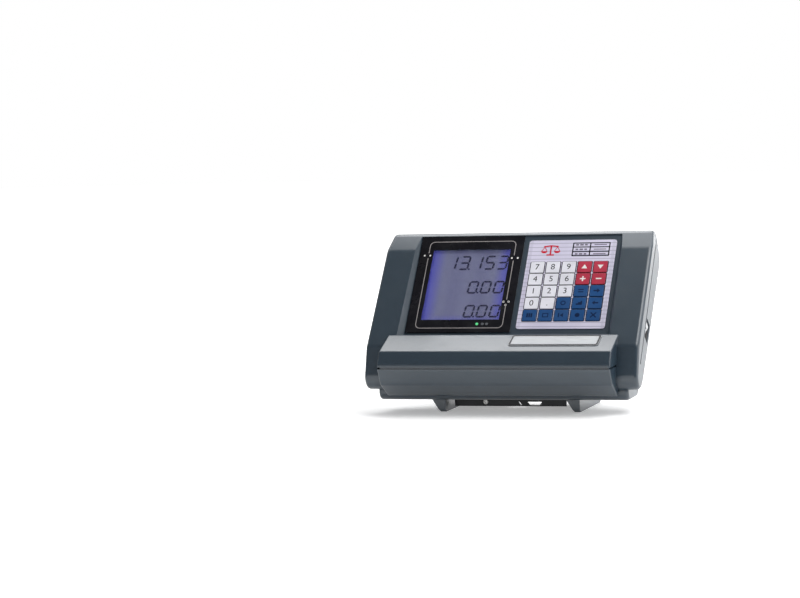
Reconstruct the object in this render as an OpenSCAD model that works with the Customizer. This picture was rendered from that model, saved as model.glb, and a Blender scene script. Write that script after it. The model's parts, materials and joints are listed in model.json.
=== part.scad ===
// Weighing indicator: a leaning plastic case with a display, a keypad and a steel column bracket.
// X runs to the right, Y to the back and Z up. The origin is at the middle of the base.

/* [Case] */
// Width of the case on each side of the sunk panel
panel_side = 36; // [34:0.5:40]
// Largest corner radius of the slab's outline
slab_round = 20; // [19:0.5:21]
// Rounding of the slab's side edges
slab_edge = 4; // [2:0.5:5]
// Thickness of the case walls
wall = 3; // [2.5:0.25:3.5]
// Width of the shadow groove along the case seam
groove_w = 1.2; // [0.8:0.1:1.8]

/* [Lip] */
// Width of each cheek beside the lip
cheek_w = 22; // [18:0.5:26]
// Depth of the lip, from its nose to the foot of the panel
lip_depth = 52; // [51:0.5:54]
// Largest corner radius of the lip's outline
lip_round = 10; // [9:0.5:10.5]
// Rounding of the lip's end edges
lip_edge = 1.5; // [0.5:0.25:2]

/* [Rear housing] */
// Step from a cheek's side to the housing's side
back_step = 12; // [10:0.5:14]
// Corner radius of the housing
back_round = 10; // [8:0.5:11]

/* [Front panel] */
// Gap between the display and the keypad film
overlay_gap = 5.5; // [4:0.5:8]
// Gap between the keypad film and the side of the recess
panel_gap = 3.8; // [3:0.2:6]
// Widening of the recess on each side, per 12 mm of depth
recess_splay = 7; // [4:0.5:8]
// Thickness of the panel floor
panel_floor = 2.5; // [2.3:0.1:2.8]

/* [Display] */
// Thickness of the clear window sheet
window_thick = 1; // [0.8:0.1:1.2]
// Thickness of the printed mask on the window
mask_thick = 0.4; // [0.3:0.05:0.6]
// Width of the visible display
view_w = 82.5; // [80:0.5:84]
// Length of the visible display
view_len = 86; // [84:0.5:87]
// Thickness of the liquid crystal cell
cell_thick = 2.2; // [1.8:0.1:2.4]
// Thickness of the backlight
backlight_thick = 5; // [4.5:0.25:5.25]
// Radius of a status lamp
lamp_r = 1.45; // [1:0.05:1.5]

/* [Keypad] */
// Thickness of the keypad overlay
overlay_thick = 0.8; // [0.6:0.1:1]
// Width of one key
key_w = 14; // [13.5:0.1:14.3]
// Length of one key
key_len = 13.1; // [12.6:0.1:13.2]
// Space between key columns
key_space_x = 2.55; // [2:0.05:3]
// Space between key rows
key_space_y = 1.45; // [1.3:0.05:2]
// Height of a key above the overlay
key_proud = 0.7; // [0.5:0.1:1]
// Travel of a key
key_travel = 0.35; // [0.25:0.05:0.35]

/* [Boards] */
// Thickness of every circuit board
board_thick = 1.6; // [1.2:0.1:1.6]
// Width of the main board
main_w = 150; // [146:1:152]
// Length of the main board
main_len = 80; // [79:0.5:81]
// Height of the posts under the main board
main_post = 8; // [6:0.5:9]

/* [Power] */
// Width of the battery
battery_w = 134; // [130:1:134]
// Depth of the battery
battery_d = 60; // [58:0.5:61]
// Height of the battery
battery_h = 34; // [32:0.5:35]
// Width of the transformer core
core_w = 42; // [40:0.5:44]
// Length of the transformer core
core_len = 32; // [30:0.5:34]
// Height of the transformer core
core_h = 35; // [32:0.5:36]
// Length of the power rocker
rocker_len = 17.6; // [17:0.1:17.8]
// Width of the power rocker
rocker_w = 9.6; // [9:0.1:9.8]
// Angle of the power rocker to each side
rocker_tilt = 8; // [6:0.5:9]
// Radius of the mains cable bore
gland_bore = 3.6; // [3:0.1:4]
// Outer radius of the load cell socket's nose
socket_nose = 8; // [7.5:0.1:8.2]

/* [Feet and bracket] */
// Distance between the two feet
foot_pitch = 140; // [138:1:144]
// Width of a foot where it meets the case
foot_w = 14; // [13:0.5:15]
// Width of a foot at its sole
foot_sole = 6; // [5:0.5:8]
// Length of a foot
foot_len = 87; // [84:0.5:90]
// Height of the case above the ground
foot_height = 13; // [12.5:0.5:15]
// Width of the steel bracket
bracket_w = 117.2; // [116:0.2:118]
// Depth of the steel bracket
bracket_d = 54; // [52:0.5:56]
// Thickness of the bracket's steel
steel = 2; // [1.5:0.25:2]
// Depth of the bracket's front flange
flange_h = 9.4; // [9:0.1:10]
// Distance between the column bolts, side to side
bolt_pitch_x = 60; // [56:1:64]
// Distance between the column bolts, front to back
bolt_pitch_y = 24; // [22:0.5:26]
// Radius of the column bolt holes
bolt_hole = 3.3; // [3:0.1:3.5]

/* [Nameplate] */
// Width of the nameplate
plate_w = 92; // [88:1:96]
// Length of the nameplate down the lip
plate_len = 22; // [20:0.5:23]
// Thickness of the nameplate
plate_thick = 0.8; // [0.5:0.1:1]

/* [Hidden] */

$fn = 36;
overrun = 1;
big = 400;

// Display and keypad sizes, with the margins round the view and the keys
key_rows = 5;
key_cols = 5;
view_side = [14.8, 13.5];
view_end = [15.2, 15.8];
film_side = [5.4, 6.3];
film_end = [9.05, 26.85];
mask_t = 0.5;
overlay_up = 4.2;
panel_end = [0.8, 6.4];
key_pitch_x = key_w + key_space_x;
key_pitch_y = key_len + key_space_y;
mask_w = view_side[0] + view_w + view_side[1];
mask_len = view_end[0] + view_len + view_end[1];
overlay_w = film_side[0] + key_cols*key_pitch_x - key_space_x + film_side[1];
overlay_len = film_end[0] + key_rows*key_pitch_y - key_space_y + film_end[1];

// The recess holds both, and the case is made to the recess
recess_w = mask_w + overlay_gap + overlay_w + panel_gap;
recess_len = max(mask_t + mask_len + panel_end[0], mask_t + overlay_up + overlay_len + panel_end[1]);
slab_depth = 1.0017*recess_len;
slab_height = 1.2806*recess_len;
case_w = recess_w + 2*panel_side;
lip_w = case_w - 2*cheek_w;
back_w = case_w - 2*back_step;

// Case levels, in a frame with Y = 0 at the slab's front and Z = 0 near the lip's underside
slab_foot = 10;
case_bottom = -1;
slab_half = case_w/2;
lip_half = lip_w/2;
back_half = back_w/2;
lean = atan2(slab_depth, slab_height);
panel_y = 0.2447*slab_depth;
panel_z = slab_foot + 0.363*slab_height;
lip_height = 0.985*(panel_z - case_bottom);
back_len = 0.8581*slab_height;
bottom_depth = 0.4051*slab_depth;

// Discs that the outlines wrap: y, z, radius and draw-in of the side, as shares
slab_disc_shares = [
    [0.110, 0.086, 0.65, 0],
    [0.181, 0.2475, 0.70, 0],
    [0.831, 0.805, 1.00, 0.04],
    [0.907, 0.927, 0.55, 0.15],
    [0.895, 0.799, 0.60, 0.04],
    [0.186, 0.092, 0.40, 0]
];
slab_discs = [for (s = slab_disc_shares)
    [s[0]*slab_depth, slab_foot + s[1]*slab_height, s[2]*slab_round, s[3]*slab_round]];
lip_nose_y = panel_y - lip_depth;
nose_z_share = 0.5692;
lip_disc_shares = [
    [0.2077, 0.7446, 0.5],
    [0.1923, nose_z_share, 1.0],
    [0.2885, 0.3846, 0.9],
    [0.6346, 0.2154, 0.9],
    [1.019, 0.1231, 0.8],
    [0.7788, 0.9292, 0.5],
    [1.0, 0.9385, 0.4]
];
lip_discs = [for (s = lip_disc_shares)
    [lip_nose_y + s[0]*lip_depth, case_bottom + s[1]*lip_height, s[2]*lip_round, 0]];
back_foot = [bottom_depth, case_bottom + back_round];
back_top = back_foot + back_len*[sin(lean), cos(lean)];
back_discs = [
    [0.375*bottom_depth, case_bottom + 0.9*back_round, 0.9*back_round, 0],
    [back_foot[0], back_foot[1], back_round, 0],
    [back_top[0], back_top[1], back_round, 0],
    [slab_discs[3][0], slab_discs[3][1], 0.7*back_round, 0]
];
back_edge = 0.8*slab_edge;

// Depths behind the panel, along its normal
back_n = -cos(lean)*(back_foot[0] - panel_y) + sin(lean)*(back_foot[1] - panel_z) - back_round;
back_inner = back_n + wall;
seam_n = -2*panel_floor;
seam_z = case_bottom + nose_z_share*lip_height;
seam_t = (seam_z - panel_z - seam_n*sin(lean))/cos(lean);
seam_y = panel_y + seam_t*sin(lean) - seam_n*cos(lean);
splay_depth = 12;

// The whole part stands with the middle of its base at the origin
foot_drop = foot_height - case_bottom;
rear_y = back_top[0] + back_round;
mid_y = (lip_nose_y + rear_y)/2;

// Screws
screw_core = 1.2;
screw_pilot = 1.25;
screw_hole = 1.7;
screw_head = 2.8;
screw_head_h = 1.8;
post_r = 2.8;
boss_r = 3.6;

// Display places, from the panel's foot and middle
recess_half = recess_w/2;
mask_x = -recess_half;
mask_mid = [mask_x + mask_w/2, mask_t + mask_len/2];
view_x = mask_x + view_side[0];
view_t = mask_t + view_end[0];
view_mid = [view_x + view_w/2, view_t + view_len/2];
cell_margin = 5.8;
cell_w = view_w + 2*cell_margin;
cell_below = 2.1;
cell_above = 5.8;
cell_len = view_len + cell_below + cell_above;
cell_mid = [view_mid[0], view_t - cell_below + cell_len/2];
opening_over = [3.5, 3];
opening_drop = 0.2;
opening_w = view_w + opening_over[0];
opening_len = view_len + opening_over[1];
opening_mid = [view_mid[0], view_mid[1] - opening_drop];
cell_gap = 0.1;
cell_n = -panel_floor - cell_gap;
frame_wall = 1;
frame_gap = 0.3;
strip_w = 2.4;
strip_margin = 1.8;
light_below = 0.6;
light_gap = 0.8;
light_len = cell_len - light_below - light_gap - strip_w - strip_margin;
display_board_n = cell_n - cell_thick - backlight_thick;
display_board_in = [1.6, 4];
display_board_w = mask_w - display_board_in[0];
display_board_len = mask_len - display_board_in[1];
display_post_in = [4.2, 3.2];
display_post_up = 5.6;
lamp_up = 9.9;
lamp_in = [75, 80.8, 85.2];
lamp_t = mask_t + lamp_up;
lamp_x = [for (d = lamp_in) mask_x + d];
lamp_hole = 1.6;
lamp_flange = 1.7;
lamp_proud = 0.2;
mask_gap = 0.2;
mask_corner = 0.5;

// Keypad places
overlay_x = mask_x + mask_w + overlay_gap;
overlay_t = mask_t + overlay_up;
overlay_mid = [overlay_x + overlay_w/2, overlay_t + overlay_len/2];
overlay_corner = 3;
key_x0 = overlay_x + film_side[0] + key_w/2;
key_t0 = overlay_t + film_end[0] + key_len/2;
key_corner = 0.8;
key_gap = 0.15;
key_flange = 0.5;
key_flange_thick = 0.6;
key_rest = 0.05;
key_stem = 2;
key_stem_hole = 2.4;
pocket_depth = 1.4;
pocket_margin = 1.5;
field_w = (key_cols - 1)*key_pitch_x + key_w + 2*key_flange + 2*pocket_margin;
field_len = (key_rows - 1)*key_pitch_y + key_len + 2*key_flange + pocket_margin;
field_mid = [key_x0 + (key_cols - 1)*key_pitch_x/2, key_t0 + (key_rows - 1)*key_pitch_y/2];
stem_len = 4;
switch_free = key_travel + key_rest;
switch_h = 3.6;
switch_w = 6;
button_r = 1.7;
keypad_board_n = -stem_len - switch_free - switch_h;
keypad_board_over = [2.6, 5];
keypad_board_w = overlay_w + keypad_board_over[0];
keypad_board_len = overlay_len + keypad_board_over[1];
keypad_post_in = 3;

// Main board, buzzer and ribbons
main_x = 0.1923*back_half;
main_t = 54;
main_n = back_inner + main_post;
main_face = main_n + board_thick;
main_post_in = 5;
ribbon_t = 30;
ribbon_w = 18;
ribbon_thick = 0.5;
ribbon_shift = 12;
ribbon_facets = 10;
plug_w = 21;
plug_t = 5;
plug_h = 4;

// Battery
battery_front = 33;
battery_y = panel_y - battery_front;
battery_z = 15.5;
rib_thick = 2;
clamp_w = 20;
clamp_thick = 1.5;
clamp_gap = 0.3;
clamp_foot = 15;
clamp_in = 26;
clamp_y = battery_y + clamp_in;
clamp_boss = 4;

// Transformer
port_in = 38;
core_mid = [port_in - back_half, 54];
ear = 8;
ear_rise = 3;
coil_over = 8;
leg_share = 0.3;
window_share = 0.2;
window_place_share = 0.26;
coil_gap = 0.15;
coil_w = 0.71*core_w;
coil_hole = (2*window_place_share - window_share)*core_w + 2*coil_gap;
coil_low = core_h*leg_share/2 + coil_gap;
coil_high = core_h*(1 - leg_share/2) - coil_gap;

// Rear connectors
left_port = [port_in - back_half, -8];
fuse_port = [port_in - back_half, 18];
right_port = [back_half - port_in, -8];

// Power switch
switch_t = 11.4;
switch_below = 9.7;
switch_n = seam_n - switch_below;
bezel_len = 21.5;
bezel_w = 13.5;
bezel_thick = 1.2;
pocket_in = 2.5;
switch_gap = 0.25;
switch_wall = 6;
switch_body_len = 19;
switch_body_w = 12.7;
switch_body_d = 17;
pivot_in = 5.5;
switch_face = slab_half - pocket_in;
pivot_depth = 3;
trough_d = 3.5;
rocker_back = 1.5;
rocker_end = 3.6;
rocker_dip = 2.4;
trunnion_r = 1.2;
trunnion_len = 0.9;
running_gap = 0.05;

// Rims, noses and nuts of the rear connectors
port_flange = 8;
port_rim = 2;
port_nose = 8;
port_nut = 4;
nut_gap = 0.1;
gland_neck = 6;
socket_flange = 9.5;
socket_neck = 7.5;
fuse_neck = 5.6;
fuse_bore = 4;
fuse_len = 28;
fuse_r = 2.6;
fuse_glass = 20;
fuse_end = back_inner + fuse_len - wall/2;
cap_r = 6.2;
cap_face = back_n - port_rim - port_nose;

// Feet and bracket
foot_front = 20;
foot_nick = 3;
foot_tail = 8;
foot_gusset_t = -5;
foot_screw_y = [30, 45];
bracket_lead = 8;
bracket_y = bottom_depth - bracket_lead;
bracket_screw_x = [-45, -15, 15, 45];
bracket_screw_in = 7;
bracket_screw_y = bracket_y + bracket_screw_in;
tab_x = 40;
tab_w = 16;
tab_t = [-39.5, -12];
tab_screw_t = -22;
bolt_in = 34;
bolt_y = bracket_y + bolt_in;
window_shares = [[0.150, 0.51], [0.284, 0.51], [0.261, 0.90], [0.176, 0.90]];
slot_shares = [[0.070, 0.51], [0.084, 0.51], [0.108, 0.90], [0.094, 0.90]];
earth_x = -25.6;

// Nameplate
plate_in = 62;
plate_x = lip_half - plate_in;
plate_corner = 3;
plate_margin = 0.6;

// Case screws and board parts
case_seat_depth = 15;
case_seat_n = seam_n - case_seat_depth;
case_screw_shares = [0.30, 0.82];
case_screw_in = 0.62*(slab_half - back_half);
capacitor_shares = [[-0.36, 0.32, 0.8, 2.2], [-0.24, 0.34, 0.6, 1.5], [-0.14, 0.34, 0.6, 1.5]];
chip_shares = [
    [0.02, 0.10, 0.17, 0.09, 0.5],
    [0.02, -0.16, 0.12, 0.07, 0.4],
    [0.37, 0.30, 0.15, 0.08, 2.2],
    [-0.41, -0.24, 0.08, 0.14, 1.3],
    [0.22, 0.12, 0.06, 0.03, 0.5]
];
buzzer_share = [0.38, -0.2];

// Turns a drawing in Y and Z into a bar along X
module along_x(len) rotate([90, 0, 90]) linear_extrude(len, center = true) children();

// Turns a drawing in X and Z into a bar along Y, from y0 to y1
module along_y(y0, y1) translate([0, y1, 0]) rotate([90, 0, 0]) linear_extrude(y1 - y0) children();

// Stands the case frame on the ground
module stand() translate([0, -mid_y, foot_drop]) children();

// Panel frame: X across, Y up the slope, Z out of the panel
module on_panel(x = 0, t = 0, n = 0)
    translate([0, panel_y, panel_z]) rotate([90 - lean, 0, 0]) translate([x, t, n]) children();

// Flat plate with round corners, centred on its face
module rounded_plate(w, len, h, r) linear_extrude(h) {
    square([w, len - 2*r], center = true);
    square([w - 2*r, len], center = true);
    for (x = [-1, 1], y = [-1, 1]) translate([x*(w/2 - r), y*(len/2 - r)]) circle(r);
}

// Block between two levels, centred in X and Y
module block(w, len, low, high) translate([-w/2, -len/2, low]) cube([w, len, high - low]);

// Round bar between two levels
module rod(r, low, high) translate([0, 0, low]) cylinder(r = r, h = high - low);

// Bar with a convex outline wrapped round discs, its side edges rounded
module wrapped_bar(discs, half, edge, inset) hull() for (d = discs, q = [0:45:90])
    translate([0, d[0], d[1]]) rotate([0, 90, 0])
        cylinder(h = 2*(half - d[3] - inset - edge*(1 - sin(q))),
            r = d[2] - inset - edge*(1 - cos(q)), center = true);

// Recess in front of the panel plane, grown by a side margin and a depth
module recess(side, depth, top) on_panel() along_y(-recess_len/6, recess_len + top)
    polygon([
        [-recess_half - side, -depth],
        [recess_half + side, -depth],
        [recess_half + recess_splay + side, splay_depth],
        [-recess_half - recess_splay - side, splay_depth]
    ]);

// Region of the front case: in front of the seam, and above it across the lip
module front_region() {
    top_t = recess_len + 4*wall;
    top_y = panel_y + top_t*sin(lean) - seam_n*cos(lean);
    top_z = panel_z + top_t*cos(lean) + seam_n*sin(lean);
    along_x(lip_w) polygon([[seam_y, seam_z], [top_y, top_z], [-big, top_z], [-big, seam_z]]);
    for (s = [-1, 1]) translate([s*(lip_half + big/2), 0, 0]) along_x(big)
        polygon([[seam_y, seam_z], [top_y, top_z], [-big, top_z], [-big, case_bottom],
            [seam_y - seam_z/8, case_bottom + slab_foot/2]]);
}

// Case walls as one closed shell
module case_walls() difference() {
    union() {
        difference() {
            union() {
                wrapped_bar(slab_discs, slab_half, slab_edge, 0);
                wrapped_bar(back_discs, back_half, back_edge, 0);
            }
            recess(0, 0, 0);
        }
        wrapped_bar(lip_discs, lip_half, lip_edge, 0);
    }
    difference() {
        union() {
            wrapped_bar(slab_discs, slab_half, 0, wall);
            wrapped_bar(back_discs, back_half, 0, wall);
        }
        recess(wall, panel_floor, wall);
    }
    wrapped_bar(lip_discs, lip_half, 0, wall);
}

// Places of the case screws, on both cheeks
module at_case_screws() {
    for (s = [-1, 1], t = case_screw_shares*recess_len)
        on_panel(s*(slab_half - case_screw_in), t) children();
}

// Places of the board posts on the panel's back
module at_display_posts() {
    for (x = [mask_x + display_post_in[0], mask_x + mask_w - display_post_in[1]],
        t = [mask_t + display_post_up, mask_t + mask_len - display_post_up])
        on_panel(x, t) children();
}
module at_keypad_posts() {
    for (sx = [-1, 1], st = [-1, 1])
        on_panel(overlay_mid[0] + sx*(keypad_board_w/2 - keypad_post_in),
            overlay_mid[1] + st*(keypad_board_len/2 - keypad_post_in)) children();
}
module at_keys() for (row = [1:key_rows], col = [1:key_cols]) at_key(row, col) children();
module at_key(row, col) on_panel(key_x0 + (col - 1)*key_pitch_x,
    key_t0 + (key_rows - row)*key_pitch_y) children();
module at_main_posts() {
    for (sx = [-1, 1], st = [-1, 1])
        on_panel(main_x + sx*(main_w/2 - main_post_in), main_t + st*(main_len/2 - main_post_in))
            children();
}
module at_core_ears() {
    for (s = [-1, 1]) on_panel(core_mid[0] + s*(core_w + ear)/2, core_mid[1]) children();
}
module at_clamp_feet() {
    for (s = [-1, 1]) translate([s*(battery_w/2 + clamp_gap + clamp_thick + clamp_foot*0.7),
        clamp_y, 0]) children();
}
module at_foot_screws() {
    for (s = [-1, 1], y = foot_screw_y) translate([s*foot_pitch/2 + foot_w*0.05, y, 0]) children();
}

// Screw with a cross recess, its head above z = 0 and its thread core below
module screw(len) difference() {
    union() {
        rod(screw_core, -len, screw_head_h/2);
        rod(screw_head, 0, screw_head_h*0.6);
        translate([0, 0, screw_head_h*0.6])
            cylinder(r1 = screw_head, r2 = screw_head*0.7, h = screw_head_h*0.4);
    }
    for (a = [0, 90]) rotate([0, 0, a])
        block(screw_head*1.1, screw_head*0.25, screw_head_h*0.4, screw_head_h + overrun);
}

module front_case() color("slategray") stand() {
    difference() {
        union() {
            intersection() {
                case_walls();
                front_region();
            }
            at_display_posts() rod(post_r, display_board_n, -panel_floor/2);
            at_keypad_posts() rod(post_r, keypad_board_n, -panel_floor/2);
            // Screw bosses in the cheeks, up to the front wall
            intersection() {
                at_case_screws() rod(boss_r, seam_n, 4*wall);
                wrapped_bar(slab_discs, slab_half, 0, wall/2);
            }
        }
        at_display_posts() rod(screw_pilot, display_board_n - overrun, -panel_floor*0.8);
        at_keypad_posts() rod(screw_pilot, keypad_board_n - overrun, -panel_floor*0.8);
        at_case_screws() rod(screw_pilot, seam_n - overrun, wall);
        on_panel(opening_mid[0], opening_mid[1])
            block(opening_w, opening_len, -panel_floor - overrun, overrun);
        for (x = lamp_x) on_panel(x, lamp_t) rod(lamp_hole, -panel_floor - overrun, overrun);
        on_panel(field_mid[0], field_mid[1])
            block(field_w, field_len, -pocket_depth, overrun);
        at_keys() rod(key_stem_hole, -panel_floor - overrun, 0);
    }
}

module rear_case() color("slategray") stand() difference() {
    union() {
        difference() {
            case_walls();
            front_region();
            seam_groove();
        }
        // Screw bosses behind the cheeks
        intersection() {
            at_case_screws() rod(boss_r, -slab_depth/2, seam_n);
            wrapped_bar(slab_discs, slab_half, slab_edge, 0);
        }
        at_main_posts() rod(post_r, back_inner - wall/2, main_n);
        at_core_ears() rod(post_r, back_inner - wall/2, back_inner + ear_rise);
        at_clamp_feet() rod(clamp_boss, case_bottom + wall/2, battery_z);
        bracket_bosses();
        battery_ribs();
        // Thick pad round the power switch
        on_panel(slab_half - switch_wall, switch_t, switch_n)
            translate([0, -bezel_len/2 - wall/2, -bezel_w/2 - wall/2])
                cube([switch_wall - wall/2, bezel_len + wall, bezel_w + wall]);
    }
    at_case_screws() rod(screw_hole, -slab_depth/2, seam_n + overrun);
    at_case_screws() rod(screw_head + switch_gap, -slab_depth/2, case_seat_n);
    at_main_posts() rod(screw_pilot, back_inner + wall/4, main_n + overrun);
    at_core_ears() rod(screw_pilot, back_n + wall/2, back_inner + ear_rise + overrun);
    at_clamp_feet() rod(screw_pilot, case_bottom + wall, battery_z + overrun);
    at_foot_screws() rod(screw_hole, case_bottom - overrun, case_bottom + wall + overrun);
    for (x = bracket_screw_x) translate([x, bracket_screw_y, 0])
        rod(screw_pilot, case_bottom - overrun, case_bottom + 3*wall);
    for (s = [-1, 1]) on_panel(s*tab_x, tab_screw_t)
        rod(screw_pilot, back_n - overrun, back_inner + wall*0.7);
    on_panel(left_port[0], left_port[1]) rod(gland_neck + running_gap, back_n - wall, back_inner + wall);
    on_panel(fuse_port[0], fuse_port[1]) rod(fuse_neck + running_gap, back_n - wall, back_inner + wall);
    on_panel(right_port[0], right_port[1])
        rod(socket_neck + running_gap, back_n - wall, back_inner + wall);
    // Pocket and cut-out of the power switch
    on_panel(slab_half, switch_t, switch_n) {
        cube([2*pocket_in, bezel_len + 2*switch_gap, bezel_w + 2*switch_gap], center = true);
        cube([4*switch_wall, switch_body_len + 2*switch_gap, switch_body_w + 2*switch_gap], center = true);
    }
}

// Shadow groove that runs round the case along the seam
module seam_groove() {
    difference() {
        translate([-lip_half - overrun, lip_nose_y - overrun, seam_z - groove_w])
            cube([lip_w + 2*overrun, 0.6*lip_depth, groove_w + overrun]);
        translate([-lip_half + groove_w, lip_nose_y + groove_w, seam_z - 2*groove_w])
            cube([lip_w - 2*groove_w, lip_depth, 4*groove_w]);
    }
    for (s = [-1, 1]) on_panel(s*(slab_half - groove_w + big/2), 0, seam_n - groove_w/2)
        translate([0, seam_t + recess_len, 0]) cube([big, 2*recess_len, groove_w], center = true);
}

// Bosses for the bracket's screws: four in the floor and two in the rear wall
module bracket_bosses() {
    for (x = bracket_screw_x) translate([x, bracket_screw_y, 0])
        rod(boss_r, case_bottom + wall/2, case_bottom + 3.4*wall);
    for (s = [-1, 1]) on_panel(s*tab_x, tab_screw_t)
        rod(boss_r, back_n + wall/2, back_inner + wall);
}

// Ribs that carry the battery, with a stop in front of it
module battery_ribs() {
    low = wall/2;
    front = battery_y - clamp_gap - rib_thick;
    for (s = [-1, 0, 1]) translate([s*battery_w*0.37, 0, 0]) along_x(rib_thick) polygon([
        [front, 0.78*battery_z + 0.18*battery_z],
        [front, battery_z + 0.2*battery_h],
        [front + rib_thick, battery_z + 0.2*battery_h],
        [front + rib_thick, battery_z],
        [battery_y + 0.9*battery_d, battery_z],
        [battery_y + 0.9*battery_d, case_bottom + low],
        [lip_discs[4][0], case_bottom + low],
        [lip_discs[3][0] - 0.521*(lip_discs[3][2] - low), lip_discs[3][1] - 0.853*(lip_discs[3][2] - low)]
    ]);
}

module foot(side) difference() {
    x = side*foot_pitch/2 + 0.54*foot_w;
    sole = -foot_drop;
    gusset = [panel_y + foot_gusset_t*sin(lean) - back_n*cos(lean),
        panel_z + foot_gusset_t*cos(lean) + back_n*sin(lean)];
    corner_t = (case_bottom - panel_z - back_n*sin(lean))/cos(lean);
    corner_y = panel_y + corner_t*sin(lean) - back_n*cos(lean);
    intersection() {
        translate([x, 0, 0]) along_y(0, 2*foot_len) polygon([
            [0, gusset[1] + overrun], [-foot_w, gusset[1] + overrun],
            [-foot_w, case_bottom], [-foot_sole, sole], [0, sole]
        ]);
        along_x(2*case_w) polygon([
            [foot_front, case_bottom], [foot_front, sole + foot_nick], [foot_front + foot_nick, sole],
            [foot_front + foot_len - foot_nick, sole],
            [foot_front + foot_len, sole + foot_nick], [foot_front + foot_len, sole + foot_tail],
            gusset, [corner_y, case_bottom]
        ]);
    }
    at_foot_screws() rod(screw_pilot, case_bottom - 0.65*foot_height, case_bottom + overrun);
}
module left_foot() color("slategray") stand() foot(-1);
module right_foot() color("slategray") stand() foot(1);

module column_bracket() color([0.06, 0.07, 0.08]) stand() difference() {
    union() {
        translate([-bracket_w/2, bracket_y, case_bottom - steel]) cube([bracket_w, bracket_d, steel]);
        translate([-bracket_w/2, bracket_y, case_bottom - flange_h])
            cube([bracket_w, steel, flange_h]);
        for (s = [-1, 1]) on_panel(s*tab_x, 0, back_n - steel)
            translate([-tab_w/2, tab_t[0], 0]) cube([tab_w, tab_t[1] - tab_t[0], steel]);
    }
    for (x = bracket_screw_x) translate([x, bracket_screw_y, 0])
        rod(screw_hole, case_bottom - 2*steel, case_bottom + overrun);
    for (s = [-1, 1]) on_panel(s*tab_x, tab_screw_t) rod(screw_hole, back_n - 2*steel, back_n + overrun);
    for (sx = [-1, 1], sy = [-1, 1])
        translate([sx*bolt_pitch_x/2, bolt_y + sy*bolt_pitch_y/2, 0])
            rod(bolt_hole, case_bottom - 2*steel, case_bottom + overrun);
    // Hole for the cables in the plate, between the column bolts
    translate([0, bolt_y, 0]) rod(bolt_pitch_y/3, case_bottom - 2*steel, case_bottom + overrun);
    // Window and slot of the front flange
    along_y(bracket_y - overrun, bracket_y + steel + overrun) {
        polygon([for (p = window_shares) [p[0]*bracket_w, case_bottom - p[1]*flange_h]]);
        polygon([for (p = slot_shares) [p[0]*bracket_w, case_bottom - p[1]*flange_h]]);
    }
    translate([earth_x, bracket_y - overrun, case_bottom - flange_h/2]) rotate([-90, 0, 0])
        rod(screw_hole, 0, steel + 2*overrun);
}

// Sheets of the display
module display_sheet(low, high) difference() {
    on_panel(mask_mid[0], mask_mid[1], low)
        rounded_plate(mask_w - mask_gap, mask_len, high - low, mask_corner);
    for (x = lamp_x) on_panel(x, lamp_t) rod(lamp_hole, low - overrun, high + overrun);
}
module display_window() color([0.75, 0.8, 0.85, 0.4]) stand() display_sheet(0, window_thick);
module display_mask() color([0.04, 0.04, 0.06]) stand() difference() {
    display_sheet(window_thick, window_thick + mask_thick);
    on_panel(view_mid[0], view_mid[1])
        block(view_w, view_len, window_thick - overrun, window_thick + mask_thick + overrun);
}
module lcd_cell() color([0.36, 0.38, 0.55]) stand()
    on_panel(cell_mid[0], cell_mid[1]) block(cell_w, cell_len, cell_n - cell_thick, cell_n);
module lcd_backlight() color([0.8, 0.82, 0.95]) stand()
    on_panel(cell_mid[0], cell_mid[1] - cell_len/2 + light_below + light_len/2)
        block(cell_w - frame_wall, light_len, display_board_n, cell_n - cell_thick);
module contact_strip() color([0.25, 0.25, 0.28]) stand()
    on_panel(cell_mid[0], cell_mid[1] + cell_len/2 - strip_margin - strip_w/2)
        block(view_w, strip_w, display_board_n, cell_n - cell_thick);
module lcd_frame() color([0.2, 0.2, 0.22]) stand() on_panel(cell_mid[0], cell_mid[1]) difference() {
    block(cell_w + 2*frame_gap + 2*frame_wall, cell_len + 2*frame_gap + 2*frame_wall,
        display_board_n, cell_n);
    block(cell_w + 2*frame_gap, cell_len + 2*frame_gap,
        display_board_n - overrun, cell_n + overrun);
}
module display_board() color("seagreen") stand() difference() {
    on_panel(mask_mid[0], mask_mid[1])
        block(display_board_w, display_board_len, display_board_n - board_thick, display_board_n);
    at_display_posts() rod(screw_hole, display_board_n - 2*board_thick, display_board_n + overrun);
}
module status_lamps() color([0.35, 0.75, 0.5]) stand() for (x = lamp_x) on_panel(x, lamp_t) {
    rod(lamp_r, display_board_n, window_thick + mask_thick + lamp_proud);
    rod(lamp_flange, display_board_n, display_board_n + lamp_r);
}

module keypad_overlay() color([0.66, 0.65, 0.74]) stand() difference() {
    on_panel(overlay_mid[0], overlay_mid[1])
        rounded_plate(overlay_w, overlay_len, overlay_thick, overlay_corner);
    at_keys() translate([0, 0, -overrun])
        rounded_plate(key_w + 2*key_gap, key_len + 2*key_gap, overlay_thick + 2*overrun, key_corner);
}
function key_tint(row, col) =
    col > 3 && row < 3 ? [0.68, 0.17, 0.24] :
    (row < 4 && col < 4) || (row == 4 && col < 3) ? [0.86, 0.86, 0.9] : [0.1, 0.3, 0.5];
module key(row, col) color(key_tint(row, col)) stand() at_key(row, col) {
    translate([0, 0, -key_rest - key_flange_thick/2])
        rounded_plate(key_w, key_len, key_rest + key_flange_thick/2 + overlay_thick + key_proud,
            key_corner);
    block(key_w + 2*key_flange, key_len + 2*key_flange, -key_rest - key_flange_thick, -key_rest);
    rod(key_stem, -stem_len, -key_rest - key_flange_thick/2);
}
module keypad_board() color("seagreen") stand() difference() {
    on_panel(overlay_mid[0], overlay_mid[1])
        block(keypad_board_w, keypad_board_len, keypad_board_n - board_thick, keypad_board_n);
    at_keypad_posts() rod(screw_hole, keypad_board_n - 2*board_thick, keypad_board_n + overrun);
}
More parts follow.
